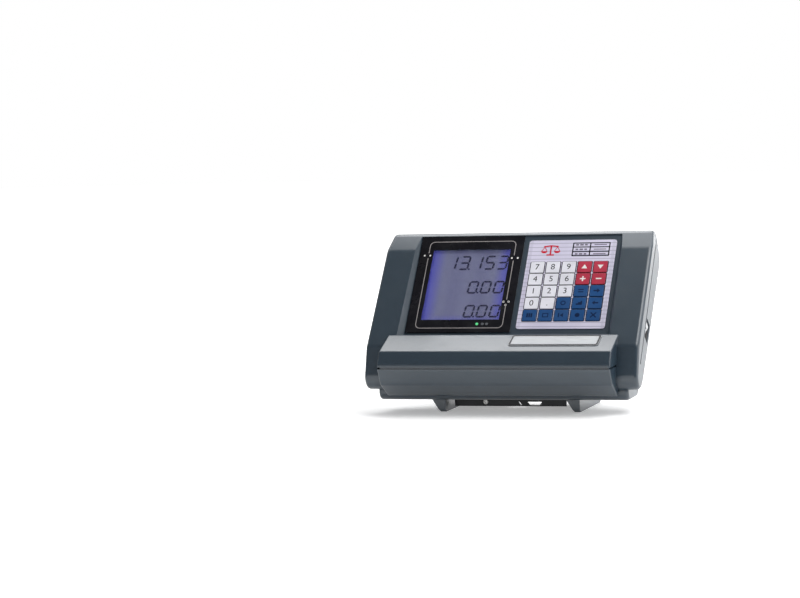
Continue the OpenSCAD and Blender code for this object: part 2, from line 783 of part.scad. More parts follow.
module key_switches() color([0.15, 0.15, 0.16]) stand() at_keys() {
    block(switch_w, switch_w, keypad_board_n, keypad_board_n + 0.75*switch_h);
    rod(button_r, keypad_board_n, keypad_board_n + switch_h);
}

// Flat cable with a plug at each end, from a board's back to the main board
module ribbon(x, from) {
    low = main_face + plug_h;
    high = from - plug_h;
    path = [for (k = [0:ribbon_facets]) let (u = k/ribbon_facets)
        [ribbon_t + ribbon_shift*(1 - cos(180*u))/2, high + (low - high)*u]];
    on_panel(x, 0, 0) {
        rotate([90, 0, 90]) linear_extrude(ribbon_w, center = true) polygon(concat(
            path, [for (i = [len(path) - 1:-1:0]) path[i] + [ribbon_thick, 0]]));
        translate([0, ribbon_t + ribbon_thick/2, 0]) block(plug_w, plug_t, high, from);
        translate([0, ribbon_t + ribbon_shift + ribbon_thick/2, 0])
            block(plug_w, plug_t, main_face, low);
    }
}
module keypad_ribbon() color([0.75, 0.75, 0.78]) stand()
    ribbon(overlay_mid[0], keypad_board_n - board_thick);
module display_ribbon() color([0.75, 0.75, 0.78]) stand()
    ribbon(mask_mid[0] + mask_w*0.3, display_board_n - board_thick);

module main_board() color("seagreen") stand() difference() {
    on_panel(main_x, main_t) block(main_w, main_len, main_n, main_face);
    at_main_posts() rod(screw_hole, main_n - overrun, main_face + overrun);
}

// Components, placed by shares of the main board from its middle
module board_parts() color([0.2, 0.2, 0.22]) stand() {
    for (p = capacitor_shares)
        on_panel(main_x + p[0]*main_w, main_t + p[1]*main_len, main_face)
            rod(p[2]*main_post, 0, p[3]*main_post);
    for (p = chip_shares) on_panel(main_x + p[0]*main_w, main_t + p[1]*main_len, main_face)
        block(p[2]*main_w, p[3]*main_w, 0, p[4]*main_post);
}
module buzzer() color([0.12, 0.12, 0.13]) stand()
    on_panel(main_x + buzzer_share[0]*main_w, main_t + buzzer_share[1]*main_len, main_face) difference() {
        rod(0.75*main_post, 0, 1.1*main_post);
        rod(0.12*main_post, main_post, 1.1*main_post + overrun);
    }

// Laminated core with two windows, a centre leg and two screw ears
module transformer_core() color([0.35, 0.36, 0.38]) stand() difference() {
    on_panel(core_mid[0], core_mid[1], back_inner) {
        block(core_w, core_len, coil_gap, core_h);
        block(core_w + 2*ear, core_len/2, ear_rise, ear_rise + clamp_thick);
    }
    for (s = [-1, 1]) on_panel(core_mid[0] + s*core_w*window_place_share, core_mid[1], back_inner)
        block(core_w*window_share, core_len + 2*overrun, core_h*leg_share/2,
            core_h*(1 - leg_share/2));
    at_core_ears() rod(screw_hole, back_inner, back_inner + ear_rise + clamp_thick + overrun);
}
module transformer_coil() color([0.8, 0.68, 0.3]) stand()
    on_panel(core_mid[0], core_mid[1], back_inner) difference() {
        block(coil_w, core_len + 2*coil_over, coil_low, coil_high);
        block(coil_hole, core_len + 2*coil_gap, coil_low - overrun, coil_high + overrun);
    }

module battery() color([0.2, 0.22, 0.25]) stand() translate([0, battery_y, battery_z]) {
    translate([-battery_w/2, 0, 0]) cube([battery_w, battery_d, battery_h]);
}
module battery_clamp() color("silver") stand() {
    half = battery_w/2 + clamp_gap;
    top = battery_z + battery_h + clamp_gap;
    translate([0, clamp_y, 0]) difference() {
        along_y(-clamp_w/2, clamp_w/2) polygon([
            [-half - clamp_thick - clamp_foot, battery_z], [-half, battery_z],
            [-half, top], [half, top], [half, battery_z],
            [half + clamp_thick + clamp_foot, battery_z],
            [half + clamp_thick + clamp_foot, battery_z + clamp_thick],
            [half + clamp_thick, battery_z + clamp_thick], [half + clamp_thick, top + clamp_thick],
            [-half - clamp_thick, top + clamp_thick], [-half - clamp_thick, battery_z + clamp_thick],
            [-half - clamp_thick - clamp_foot, battery_z + clamp_thick]
        ]);
        translate([0, -clamp_y, 0]) at_clamp_feet()
            rod(screw_hole, battery_z - overrun, battery_z + clamp_thick + overrun);
    }
}

// Switch body: bezel in the side wall's pocket, trough for the rocker and three tabs
module power_switch() color([0.08, 0.08, 0.09]) stand()
    on_panel(switch_face, switch_t, switch_n) difference() {
        union() {
            translate([0, -bezel_len/2, -bezel_w/2]) cube([bezel_thick, bezel_len, bezel_w]);
            translate([-switch_body_d, -switch_body_len/2, -switch_body_w/2])
                cube([switch_body_d + bezel_thick/2, switch_body_len, switch_body_w]);
            for (t = [-1, 0, 1])
                translate([-switch_body_d - 1.4*pivot_in, t*switch_body_len/3 - bezel_thick/3, -wall/2])
                    cube([1.5*pivot_in, bezel_thick*0.66, wall]);
        }
        translate([-pivot_depth - trough_d, -rocker_len/2 - switch_gap, -rocker_w/2 - switch_gap])
            cube([big, rocker_len + 2*switch_gap, rocker_w + 2*switch_gap]);
        translate([-pivot_depth, 0, 0])
            rod(trunnion_r + running_gap, -rocker_w/2 - trunnion_len - switch_gap,
                rocker_w/2 + trunnion_len + switch_gap);
    }
module power_rocker() color([0.78, 0.79, 0.8]) stand()
    on_panel(switch_face - pivot_depth, switch_t, switch_n)
    rotate([0, 0, -rocker_tilt]) {
        intersection() {
            rod(rocker_len/2, -rocker_w/2, rocker_w/2);
            translate([0, 0, -rocker_w/2]) linear_extrude(rocker_w) polygon([
                [-rocker_back, -rocker_len], [-rocker_back, rocker_len], [rocker_end, rocker_len],
                [rocker_end, rocker_len*0.45], [rocker_dip, 0], [rocker_end, -rocker_len*0.45],
                [rocker_end, -rocker_len]
            ]);
        }
        rod(trunnion_r, -rocker_w/2 - trunnion_len, rocker_w/2 + trunnion_len);
    }

// Bush for the mains cable, with its nut inside the wall
module mains_gland() color([0.1, 0.1, 0.11]) stand() on_panel(left_port[0], left_port[1]) difference() {
    union() {
        rod(port_flange, back_n - port_rim, back_n);
        translate([0, 0, back_n - port_rim - port_nose])
            cylinder(r1 = 0.62*port_flange, r2 = 0.87*port_flange, h = port_nose);
        rod(gland_neck, back_n - port_rim, back_inner + port_nut);
        translate([0, 0, back_inner + nut_gap]) cylinder(r = port_flange, h = port_nut - nut_gap, $fn = 6);
    }
    rod(gland_bore, back_n - port_rim - port_nose - overrun, back_inner + port_nut + overrun);
}

// Round fuse holder with the fuse inside it
module fuse_holder() color([0.1, 0.1, 0.11]) stand() on_panel(fuse_port[0], fuse_port[1]) {
    difference() {
        union() {
            rod(port_flange, back_n - port_rim, back_n);
            rod(fuse_neck, back_n - port_rim, back_inner + fuse_len);
            translate([0, 0, back_inner + nut_gap])
                cylinder(r = port_flange, h = port_nut - nut_gap, $fn = 6);
        }
        rod(fuse_bore, back_n - port_rim - overrun, back_inner + fuse_len - wall/2);
    }
    rod(fuse_r, fuse_end - fuse_glass, fuse_end);
}
module fuse_cap() color([0.1, 0.1, 0.11]) stand() on_panel(fuse_port[0], fuse_port[1]) difference() {
    union() {
        rod(cap_r, cap_face, back_n - port_rim - running_gap);
        rod(fuse_bore - running_gap, back_n - port_rim - overrun, fuse_end - fuse_glass - running_gap);
    }
    translate([0, 0, cap_face]) block(1.4*cap_r, 0.2*cap_r, -overrun, 0.2*cap_r);
    for (a = [0:20:340]) rotate([0, 0, a]) translate([cap_r, 0, 0])
        rod(0.08*cap_r, cap_face - overrun, back_n - port_rim - cap_r/4);
}

// Round load cell socket with five contact holes
module loadcell_socket() color("silver") stand() on_panel(right_port[0], right_port[1]) difference() {
    union() {
        rod(socket_flange, back_n - port_rim, back_n);
        rod(socket_nose, back_n - port_rim - port_nose, back_n - port_rim);
        rod(socket_neck, back_n - port_rim, back_inner + 2*port_nut);
        translate([0, 0, back_inner + nut_gap])
            cylinder(r = socket_flange, h = port_nut - nut_gap, $fn = 6);
    }
    rod(0.8*socket_nose, back_n - port_rim - port_nose - overrun, back_n - port_rim - port_nose*0.85);
    for (a = [0:72:288]) rotate([0, 0, a]) translate([0.45*socket_nose, 0, 0])
        rod(0.11*socket_nose, back_n - port_rim - port_nose - overrun, back_n - port_rim - port_nose/3);
}

// Plate on the slope of the lip
module nameplate() color([0.79, 0.8, 0.81]) stand() {
    foot = lip_discs[0];
    head = lip_discs[5];
    rise = atan2(head[1] - foot[1], head[0] - foot[0]);
    slope_len = norm([head[0] - foot[0], head[1] - foot[1]]);
    translate([plate_x, foot[0], foot[1]]) rotate([rise, 0, 0])
        translate([0, slope_len - plate_len/2 - plate_margin, foot[2]])
            rounded_plate(plate_w, plate_len, plate_thick, plate_corner);
}

module case_screws() color("silver") stand()
    at_case_screws() translate([0, 0, case_seat_n]) rotate([180, 0, 0])
        screw(seam_n - case_seat_n + 2.4*wall);
module inner_screws() color("silver") stand() {
    at_display_posts() translate([0, 0, display_board_n - board_thick]) rotate([180, 0, 0])
        screw(board_thick + 1.8*wall);
    at_keypad_posts() translate([0, 0, keypad_board_n - board_thick]) rotate([180, 0, 0])
        screw(board_thick + 1.5*wall);
    at_main_posts() translate([0, 0, main_face]) screw(board_thick + 1.8*wall);
    at_core_ears() translate([0, 0, back_inner + ear_rise + clamp_thick])
        screw(clamp_thick + ear_rise + wall/4);
    at_clamp_feet() translate([0, 0, battery_z + clamp_thick]) screw(clamp_thick + 2*wall);
}
module base_screws() color("silver") stand() {
    at_foot_screws() translate([0, 0, case_bottom + wall]) screw(wall + 0.55*foot_height);
    for (x = bracket_screw_x) translate([x, bracket_screw_y, case_bottom - steel]) rotate([180, 0, 0])
        screw(steel + 2.7*wall);
    for (s = [-1, 1]) on_panel(s*tab_x, tab_screw_t, back_n - steel) rotate([180, 0, 0])
        screw(steel + 1.4*wall);
    translate([earth_x, bracket_y, case_bottom - flange_h/2]) rotate([90, 0, 0]) screw(3*steel);
}

front_case();
rear_case();
left_foot();
right_foot();
column_bracket();
display_mask();
display_window();
lcd_cell();
lcd_backlight();
lcd_frame();
contact_strip();
display_board();
status_lamps();
keypad_overlay();
keypad_board();
key_switches();
keypad_ribbon();
display_ribbon();
main_board();
board_parts();
buzzer();
transformer_core();
transformer_coil();
battery();
battery_clamp();
power_switch();
power_rocker();
mains_gland();
fuse_holder();
fuse_cap();
loadcell_socket();
nameplate();
case_screws();
inner_screws();
base_screws();
key(1, 1);  // key_r1c1
key(1, 2);  // key_r1c2
key(1, 3);  // key_r1c3
key(1, 4);  // key_r1c4
key(1, 5);  // key_r1c5
key(2, 1);  // key_r2c1
key(2, 2);  // key_r2c2
key(2, 3);  // key_r2c3
key(2, 4);  // key_r2c4
key(2, 5);  // key_r2c5
key(3, 1);  // key_r3c1
key(3, 2);  // key_r3c2
key(3, 3);  // key_r3c3
key(3, 4);  // key_r3c4
key(3, 5);  // key_r3c5
key(4, 1);  // key_r4c1
key(4, 2);  // key_r4c2
key(4, 3);  // key_r4c3
key(4, 4);  // key_r4c4
key(4, 5);  // key_r4c5
key(5, 1);  // key_r5c1
key(5, 2);  // key_r5c2
key(5, 3);  // key_r5c3
key(5, 4);  // key_r5c4
key(5, 5);  // key_r5c5
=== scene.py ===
"""Looks of a leaning weighing indicator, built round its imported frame."""

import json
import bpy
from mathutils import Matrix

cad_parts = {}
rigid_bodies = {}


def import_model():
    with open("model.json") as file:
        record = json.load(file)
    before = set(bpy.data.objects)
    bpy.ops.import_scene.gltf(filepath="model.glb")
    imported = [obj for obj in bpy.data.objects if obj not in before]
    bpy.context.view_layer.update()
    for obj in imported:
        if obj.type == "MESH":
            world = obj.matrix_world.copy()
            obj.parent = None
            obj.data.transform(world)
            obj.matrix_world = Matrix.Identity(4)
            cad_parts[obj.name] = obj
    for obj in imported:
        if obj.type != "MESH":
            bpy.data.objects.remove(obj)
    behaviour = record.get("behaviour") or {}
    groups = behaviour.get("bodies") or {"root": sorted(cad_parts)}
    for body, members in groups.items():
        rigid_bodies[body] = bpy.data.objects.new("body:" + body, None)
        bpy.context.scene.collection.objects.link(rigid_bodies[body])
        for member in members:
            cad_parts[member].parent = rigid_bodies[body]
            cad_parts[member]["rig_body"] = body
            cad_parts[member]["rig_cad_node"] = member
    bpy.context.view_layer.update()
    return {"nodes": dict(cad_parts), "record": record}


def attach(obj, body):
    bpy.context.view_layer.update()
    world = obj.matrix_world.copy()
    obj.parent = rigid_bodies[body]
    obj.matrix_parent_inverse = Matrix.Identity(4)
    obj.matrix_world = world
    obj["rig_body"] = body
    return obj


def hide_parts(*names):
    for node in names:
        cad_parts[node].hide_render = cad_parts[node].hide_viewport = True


bl_info = {
    "name": "Weighing indicator",
    "version": (1, 0, 0),
    "blender": (4, 5, 0),
    "location": "3D View > Sidebar > Indicator",
    "description": "Builds the case, display, keypad and fittings of a weighing indicator",
    "category": "Add Mesh",
}

from functools import partial
from math import atan2, cos, pi, radians, sin, tan

import bmesh
import bpy
from bpy.types import Operator, Panel, PropertyGroup
from mathutils import Matrix, Vector

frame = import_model()
TINTS = {m["slot"]: tuple(m["base_color"][:3]) for m in frame["record"]["materials"]}
SLOTS = {s["node"]: s["material_slot"] for s in frame["record"]["subparts"]}
MATERIALS = {}
GROUPS = {}
MM = 0.001


def mm(*values):
    return tuple(value * MM for value in values)


# Case sizes, the same as the frame's, with Y = 0 at the slab's front
RECESS_LEN = 118.3 * MM
SLAB_DEPTH = 1.0017 * RECESS_LEN
SLAB_HEIGHT = 1.2806 * RECESS_LEN
SLAB_FOOT, SLAB_HALF, SLAB_ROUND, SLAB_EDGE = mm(10, 142, 20, 4)
LIP_HALF, LIP_DEPTH, LIP_ROUND, LIP_EDGE = mm(120, 52, 10, 1.5)
BACK_HALF, BACK_ROUND = mm(130, 10)
BACK_LEN = 0.8581 * SLAB_HEIGHT
BACK_EDGE = 0.8 * SLAB_EDGE
BOTTOM_DEPTH = 0.4051 * SLAB_DEPTH
CASE_BOTTOM, FOOT_DROP = mm(-1, 14)
WALL, FLOOR, GROOVE, BIG = mm(3, 2.5, 1.9, 400)
LEAN = atan2(SLAB_DEPTH, SLAB_HEIGHT)
SIN, COS = sin(LEAN), cos(LEAN)
PANEL_Y = 0.2447 * SLAB_DEPTH
PANEL_Z = SLAB_FOOT + 0.363 * SLAB_HEIGHT
LIP_HEIGHT = 0.985 * (PANEL_Z - CASE_BOTTOM)
NOSE_Y = PANEL_Y - LIP_DEPTH
BACK_FOOT = (BOTTOM_DEPTH, CASE_BOTTOM + BACK_ROUND)
BACK_TOP = (BACK_FOOT[0] + BACK_LEN * SIN, BACK_FOOT[1] + BACK_LEN * COS)
MID_Y = (NOSE_Y + BACK_TOP[0] + BACK_ROUND) / 2
BACK_N = -COS * (BACK_FOOT[0] - PANEL_Y) + SIN * (BACK_FOOT[1] - PANEL_Z) - BACK_ROUND
SEAM_N = -2 * FLOOR
SEAM_Z = CASE_BOTTOM + 0.5692 * LIP_HEIGHT
SEAM_T = (SEAM_Z - PANEL_Z - SEAM_N * SIN) / COS
SEAM_Y = PANEL_Y + SEAM_T * SIN - SEAM_N * COS

# Discs that the outlines wrap: y, z, radius and draw-in of the side
SLAB_SHARES = ((0.110, 0.086, 0.65, 0), (0.181, 0.2475, 0.70, 0), (0.831, 0.805, 1.00, 0.04),
               (0.907, 0.927, 0.55, 0.15), (0.895, 0.799, 0.60, 0.04), (0.186, 0.092, 0.40, 0))
SLAB = [(a * SLAB_DEPTH, SLAB_FOOT + b * SLAB_HEIGHT, r * SLAB_ROUND, d * SLAB_ROUND)
        for a, b, r, d in SLAB_SHARES]
LIP_SHARES = ((0.2077, 0.7446, 0.5), (0.1923, 0.5692, 1.0), (0.2885, 0.3846, 0.9),
              (0.6346, 0.2154, 0.9), (1.019, 0.1231, 0.8), (0.7788, 0.9292, 0.5), (1.0, 0.9385, 0.4))
LIP = [(NOSE_Y + a * LIP_DEPTH, CASE_BOTTOM + b * LIP_HEIGHT, r * LIP_ROUND, 0)
       for a, b, r in LIP_SHARES]
BACK = [(0.375 * BOTTOM_DEPTH, CASE_BOTTOM + 0.9 * BACK_ROUND, 0.9 * BACK_ROUND, 0),
        (*BACK_FOOT, BACK_ROUND, 0), (*BACK_TOP, BACK_ROUND, 0),
        (SLAB[3][0], SLAB[3][1], 0.7 * BACK_ROUND, 0)]

# Places on the panel: X across, Y up the slope, Z out of the panel
STAND = Matrix.Translation((0, -MID_Y, FOOT_DROP))
PANEL = STAND @ Matrix.Translation((0, PANEL_Y, PANEL_Z)) @ Matrix.Rotation(pi / 2 - LEAN, 4, "X")
ACROSS = STAND @ Matrix(((0, 0, 1, 0), (1, 0, 0, 0), (0, 1, 0, 0), (0, 0, 0, 1)))
RECESS_HALF, SPLAY, SPLAY_DEPTH = mm(106, 7, 12)
VIEW_MID = mm(-49.95, 58.7)
VIEW_W, VIEW_LEN = mm(82.5, 86)
MASK_TOP, CELL_TOP, OVERLAY_TOP, KEY_TOP = mm(1.4, -2.6, 0.8, 1.5)
OVERLAY_MID = mm(56.25, 58.3)
KEY_X0, KEY_T0 = mm(22.7, 20.3)
KEY_PITCH = mm(16.55, 14.55)
KEY_W, KEY_LEN = mm(14, 13.1)
LEFT_PORT, FUSE_PORT, RIGHT_PORT = mm(-92, -8), mm(-92, 18), mm(92, -8)
SWITCH = (SLAB_HALF - 2.5 * MM, 11.4 * MM, SEAM_N - 9.7 * MM)
CASE_SCREWS = [(s * (SLAB_HALF - 0.62 * (SLAB_HALF - BACK_HALF)), t * RECESS_LEN)
               for s in (-1, 1) for t in (0.30, 0.82)]
BOSS_R = 3.6 * MM

# Openings of the two shells: the display's margin, key field, screw ways, ports and switch
VIEW_MARGIN = mm(3.5, 3)
FIELD, FIELD_DEPTH = mm(84.2, 75.8, 0.6), 1.4 * MM
LAMPS_T, LAMP_R, STEM_R = mm(10.4, 1.6, 2.4)
WELL_R, WELL_DROP, SHAFT_R = mm(3.05, 15, 1.7)
PORTS = ((LEFT_PORT, 6.05 * MM), (FUSE_PORT, 5.65 * MM), (RIGHT_PORT, 7.55 * MM))
SWITCH_PAD = mm(3.5, 12.25, 8.25)
SWITCH_CUTS = (mm(2.5, 11, 7), mm(24, 9.75, 6.6))

# Printed layers, fine patterns and the grid of the modelling steps
PRINT_SINK, PRINT_RISE = 0.02 * MM, 0.05 * MM
RULE_PITCH, TICK_PITCH = 4.8, 1.2
GRAIN_DEPTH = 0.02 * MM
DUST_SCALE = 90.0
DUST_TONE = (0.42, 0.41, 0.39, 1.0)
SHARPEST = 0.4
DISC_POINTS, EDGE_STEPS = 56, 5
HULL_FLAT, FLAT = radians(0.2), radians(0.3)


# Modelling by operators

def mode(name):
    bpy.ops.object.mode_set(mode=name)


def fresh():
    """Object mode with nothing selected."""
    if bpy.context.object and bpy.context.object.mode != "OBJECT":
        mode("OBJECT")
    bpy.ops.object.select_all(action="DESELECT")


def take(ob):
    """Makes one object the selected and active one."""
    fresh()
    ob.select_set(True)
    bpy.context.view_layer.objects.active = ob
    return ob


def mesh_all(action="SELECT"):
    bpy.ops.mesh.select_all(action=action)


def keep(name):
    ob = bpy.context.object
    ob.name = name
    bpy.ops.object.transform_apply(location=True, rotation=True, scale=True)
    return ob


def around(mid, radii, degrees):
    """Point of an ellipse."""
    turn = radians(degrees)
    return mid[0] + radii[0] * cos(turn), mid[1] + radii[1] * sin(turn)


def rounded(w, h, r, mid=(0, 0), steps=5):
    """Outline of a rectangle with round corners."""
    return [around((mid[0] + sx * (w / 2 - r), mid[1] + sy * (h / 2 - r)), (r, r), 90 * (k + i / steps))
            for k, (sx, sy) in enumerate(((1, 1), (-1, 1), (-1, -1), (1, -1))) for i in range(steps + 1)]


def box(x0, y0, x1, y1):
    return [(x0, y0), (x1, y0), (x1, y1), (x0, y1)]


def stroke(points, width):
    """Outline of a line of one width, with mitred corners."""
    left, right = [], []
    for i, p in enumerate(points):
        before = Vector(points[max(i - 1, 0)])
        after = Vector(points[min(i + 1, len(points) - 1)])
        here = Vector(p)
        a = (here - before).normalized() if i else (after - here).normalized()
        b = (after - here).normalized() if i < len(points) - 1 else a
        normal = Vector((-(a + b).y, (a + b).x)).normalized()
        reach = width / 2 / max(SHARPEST, normal.dot(Vector((-a.y, a.x))))
        left.append(tuple(here + normal * reach))
        right.append(tuple(here - normal * reach))
    return [*right, *reversed(left)]


def prism(name, outlines, low, high, matrix=PANEL):
    """Bodies with level ends over outlines. A pair of outlines makes a ring."""
    fresh()
    ob = None
    for outline in outlines:
        pair = outline if isinstance(outline[0], list) else [outline]
        for points in pair:
            bpy.ops.mesh.primitive_circle_add(
                vertices=len(points), radius=1, fill_type="NGON" if len(pair) == 1 else "NOTHING")
            if ob is None:
                ob = bpy.context.object
                mode("EDIT")
            mesh = bmesh.from_edit_mesh(ob.data)
            for vert, (x, y) in zip([v for v in mesh.verts if v.select], points):
                vert.co = (x, y, low)
            bmesh.update_edit_mesh(ob.data)
        if len(pair) == 2:
            mesh = bmesh.from_edit_mesh(ob.data)
            mesh.verts.ensure_lookup_table()
            first = len(mesh.verts) - len(pair[0]) - len(pair[1])
            for vert in mesh.verts[first:]:
                vert.select = True
            mesh.select_flush(True)
            bmesh.update_edit_mesh(ob.data)
            bpy.ops.mesh.bridge_edge_loops()
        mesh_all("DESELECT")
    mesh_all()
    bpy.ops.mesh.extrude_region_move(TRANSFORM_OT_translate={"value": (0, 0, high - low)})
    mesh_all()
    bpy.ops.mesh.normals_make_consistent(inside=False)
    mode("OBJECT")
    ob.name = name
    ob.data.transform(matrix)
    return ob


def rods(name, spots, radius, low, high, vertices=40):
    """Round bodies out of the panel, between two levels, joined into one mesh."""
    obs = []
    for x, t in spots:
        fresh()
        bpy.ops.mesh.primitive_cone_add(vertices=vertices, radius1=radius, radius2=radius,
                                        depth=high - low, location=(x, t, (low + high) / 2))
        ob = keep(name)
        ob.data.transform(PANEL)
        obs.append(ob)
    return together(name, obs)


def wrapped_bar(name, discs, half, edge=0, inset=0):
    """Bar with a convex outline wrapped round discs, its side edges rounded."""
    fresh()
    for y, z, r, draw in discs:
        for k in range(EDGE_STEPS + 1) if edge else (EDGE_STEPS,):
            q = pi / 2 * k / EDGE_STEPS
            x = half - draw - inset - edge * (1 - sin(q))
            radius = r - inset - edge * (1 - cos(q))
            for side in (-1, 1):
                bpy.ops.mesh.primitive_circle_add(
                    vertices=DISC_POINTS, radius=radius, location=(side * x, y, z),
                    rotation=(0, pi / 2, 0))
                if bpy.context.mode == "OBJECT":
                    bpy.ops.object.transform_apply(location=True, rotation=True, scale=True)
                    mode("EDIT")
    mesh_all()
    bpy.ops.mesh.convex_hull(join_triangles=False)
    mesh_all()
    bpy.ops.mesh.dissolve_limited(angle_limit=HULL_FLAT)
    mode("OBJECT")
    ob = bpy.context.object
    ob.name = name
    ob.data.transform(STAND)
    return ob


def copy_of(ob, name):
    twin = ob.copy()
    twin.data = ob.data.copy()
    twin.name = name
    twin.parent = None
    bpy.context.scene.collection.objects.link(twin)
    return twin


def together(name, obs):
    """Joins bodies that don't touch into one mesh."""
    fresh()
    for ob in obs:
        ob.select_set(True)
    bpy.context.view_layer.objects.active = obs[0]
    bpy.ops.object.join()
    obs[0].name = name
    return obs[0]


def apply_all(ob):
    take(ob)
    for modifier in list(ob.modifiers):
        bpy.ops.object.modifier_apply(modifier=modifier.name)


def carve(ob, tool, how="DIFFERENCE", solver="MANIFOLD"):
    """Cuts with, adds or keeps what lies inside the tool, and spends the tool."""
    modifier = ob.modifiers.new("shape", "BOOLEAN")
    modifier.operation, modifier.solver, modifier.object = how, solver, tool
    apply_all(ob)
    if not ob.data.polygons:
        raise RuntimeError(f"{ob.name}: nothing is left after {how.lower()} with {tool.name}")
    bpy.data.objects.remove(tool)
    return ob


def merge(ob):
    """Merges doubles and the faces of each plane, and stays in edit mode."""
    take(ob)
    mode("EDIT")
    mesh_all()
    bpy.ops.mesh.remove_doubles(threshold=0.002 * MM)
    mesh_all()
    bpy.ops.mesh.dissolve_limited(angle_limit=FLAT)


def soften(ob, width, segments=2, limit=32, smooth=32):
    """Rounds the sharp edges and smooths the shading."""
    merge(ob)
    mode("OBJECT")
    bevel = ob.modifiers.new("edges", "BEVEL")
    bevel.width, bevel.segments = width, segments
    bevel.limit_method, bevel.angle_limit = "ANGLE", radians(limit)
    bevel.miter_outer = "MITER_ARC"
    apply_all(ob)
    bpy.ops.object.shade_smooth_by_angle(angle=radians(smooth))
    weighted = ob.modifiers.new("normals", "WEIGHTED_NORMAL")
    weighted.keep_sharp = True
    apply_all(ob)
    return ob


def dress(ob, material, body, slot, *nodes):
    """Gives a piece its material and its body, and hides the nodes it stands for. The slot is not used."""
    ob.data.materials.clear()
    ob.data.materials.append(MATERIALS[material])
    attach(ob, body)
    if nodes:
        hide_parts(*nodes)
    return ob


def node_copy(node, name):
    """Copy of a CAD node, without its marks."""
    ob = copy_of(frame["nodes"][node], name)
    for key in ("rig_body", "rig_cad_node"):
        del ob[key]
    return ob


def dressed_copy(node, name, width, **options):
    """A merged copy of a node with rounded edges, which stands for it."""
    ob = soften(node_copy(node, name), width, **options)
    return dress(ob, SLOTS[node], frame["nodes"][node]["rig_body"], SLOTS[node], node)


def ink(name, outlines, level, material, slot):
    """Thin printed layer on the panel."""
    layer = prism(name, outlines, level - PRINT_SINK, level + PRINT_RISE)
    return dress(layer, material, "root", slot)


# Materials

class Graph:
    """Adds nodes to a tree, linking the sockets that are given as inputs."""

    def __init__(self, tree):
        self.tree = tree

    def __call__(self, kind, inputs=None, **settings):
        node = self.tree.nodes.new("ShaderNode" + kind)
        for key, value in settings.items():
            setattr(node, key, value)
        self.feed(node, inputs or {})
        return node

    def feed(self, node, inputs):
        """Links the sockets and sets the values."""
        for key, value in inputs.items():
            if isinstance(value, bpy.types.NodeSocket):
                self.tree.links.new(value, node.inputs[key])
            else:
                node.inputs[key].default_value = value

    def math(self, how, a, b=0.0):
        return self("Math", {0: a, 1: b}, operation=how).outputs[0]

    def times(self, a, b):
        return self.math("MULTIPLY", a, b)

    def add(self, a, b):
        return self.math("ADD", a, b)

    def mix(self, share, a, b):
        return self("Mix", {0: share, 6: a, 7: b}, data_type="RGBA").outputs[2]

    def ramp(self, value, low, high, out_low=0.0, out_high=1.0):
        return self("MapRange", {0: value, 1: low, 2: high, 3: out_low, 4: out_high},
                    interpolation_type="SMOOTHSTEP").outputs[0]

    def place(self):
        return self("TexCoord").outputs["Object"]

    def noise(self, scale, detail=2.0, stretch=(1, 1, 1)):
        spot = self("Mapping", {"Vector": self.place(), "Scale": stretch}).outputs[0]
        return self("TexNoise", {"Vector": spot, "Scale": scale, "Detail": detail}).outputs[0]

    def group(self, name, inputs=None):
        return self("Group", inputs, node_tree=GROUPS[name]).outputs


def rgba(colour):
    return (*colour[:3], 1.0)


def make_group(name, inputs, outputs, build):
    """Shader node group with named inputs and outputs, built once."""
    tree = bpy.data.node_groups.new(name, "ShaderNodeTree")
    for label, default in inputs.items():
        kind = "NodeSocketColor" if isinstance(default, tuple) else "NodeSocketFloat"
        tree.interface.new_socket(label, in_out="INPUT", socket_type=kind).default_value = default
    for label in outputs:
        kind = "NodeSocketColor" if label == "Colour" else "NodeSocketFloat"
        tree.interface.new_socket(label, in_out="OUTPUT", socket_type=kind)
    graph = Graph(tree)
    source = tree.nodes.new("NodeGroupInput").outputs
    graph.feed(tree.nodes.new("NodeGroupOutput"), build(graph, source))
    GROUPS[name] = tree


def moulded(g, i):
    """Fine spark grain, broad unevenness of tone and rubbed patches."""
    fine = g.noise(i["Grain"], 3.0)
    broad = g.noise(i["Spread"], 2.0)
    rub = g.ramp(g.noise(g.times(i["Spread"], 3.0), 5.0), 0.52, 0.75)
    tone = g.mix(g.ramp(broad, 0.3, 0.7), i["Colour"], i["Shade"])
    speck = g.mix(g.ramp(fine, 0.25, 0.75, 0.0, 0.16), tone, i["Shade"])
    rough = g.add(i["Roughness"], g.times(rub, i["Rub"]))
    rough = g.add(rough, g.ramp(fine, 0.2, 0.8, -0.03, 0.03))
    return {"Colour": speck, "Roughness": rough, "Height": fine}


def brushed(g, i):
    """Long fine scratches along X, with a few darker stains."""
    lines = g.noise(i["Grain"], 4.0, (0.03, 1, 1))
    stain = g.ramp(g.noise(60.0, 4.0), 0.45, 0.75)
    tone = g.mix(g.ramp(lines, 0.3, 0.7), i["Colour"], i["Shade"])
    tone = g.mix(g.times(stain, 0.25), tone, i["Shade"])
    rough = g.add(i["Roughness"], g.ramp(lines, 0.2, 0.8, -0.07, 0.1))
    return {"Colour": tone, "Roughness": rough, "Height": lines}


def settled(g, i):
    """Dust that lies on what faces up."""
    up = g("SeparateXYZ", {0: g("NewGeometry").outputs["Normal"]}).outputs[2]
    patches = g.ramp(g.noise(i["Scale"], 6.0), 0.38, 0.72)
    return {"Mask": g.times(g.times(g.ramp(up, 0.35, 0.98), patches), i["Amount"])}


def placed(g, i):
    """Place on the panel: across and up the slope, in millimetres."""
    away = g("VectorMath", {0: g.place(), 1: tuple(PANEL.to_translation())},
             operation="SUBTRACT").outputs[0]
    up = tuple(PANEL.to_3x3() @ Vector((0, 1, 0)))
    return {label: g.times(g("VectorMath", {0: away, 1: axis},
                             operation="DOT_PRODUCT").outputs["Value"], 1 / MM)
            for label, axis in (("Across", (1, 0, 0)), ("Up", up))}


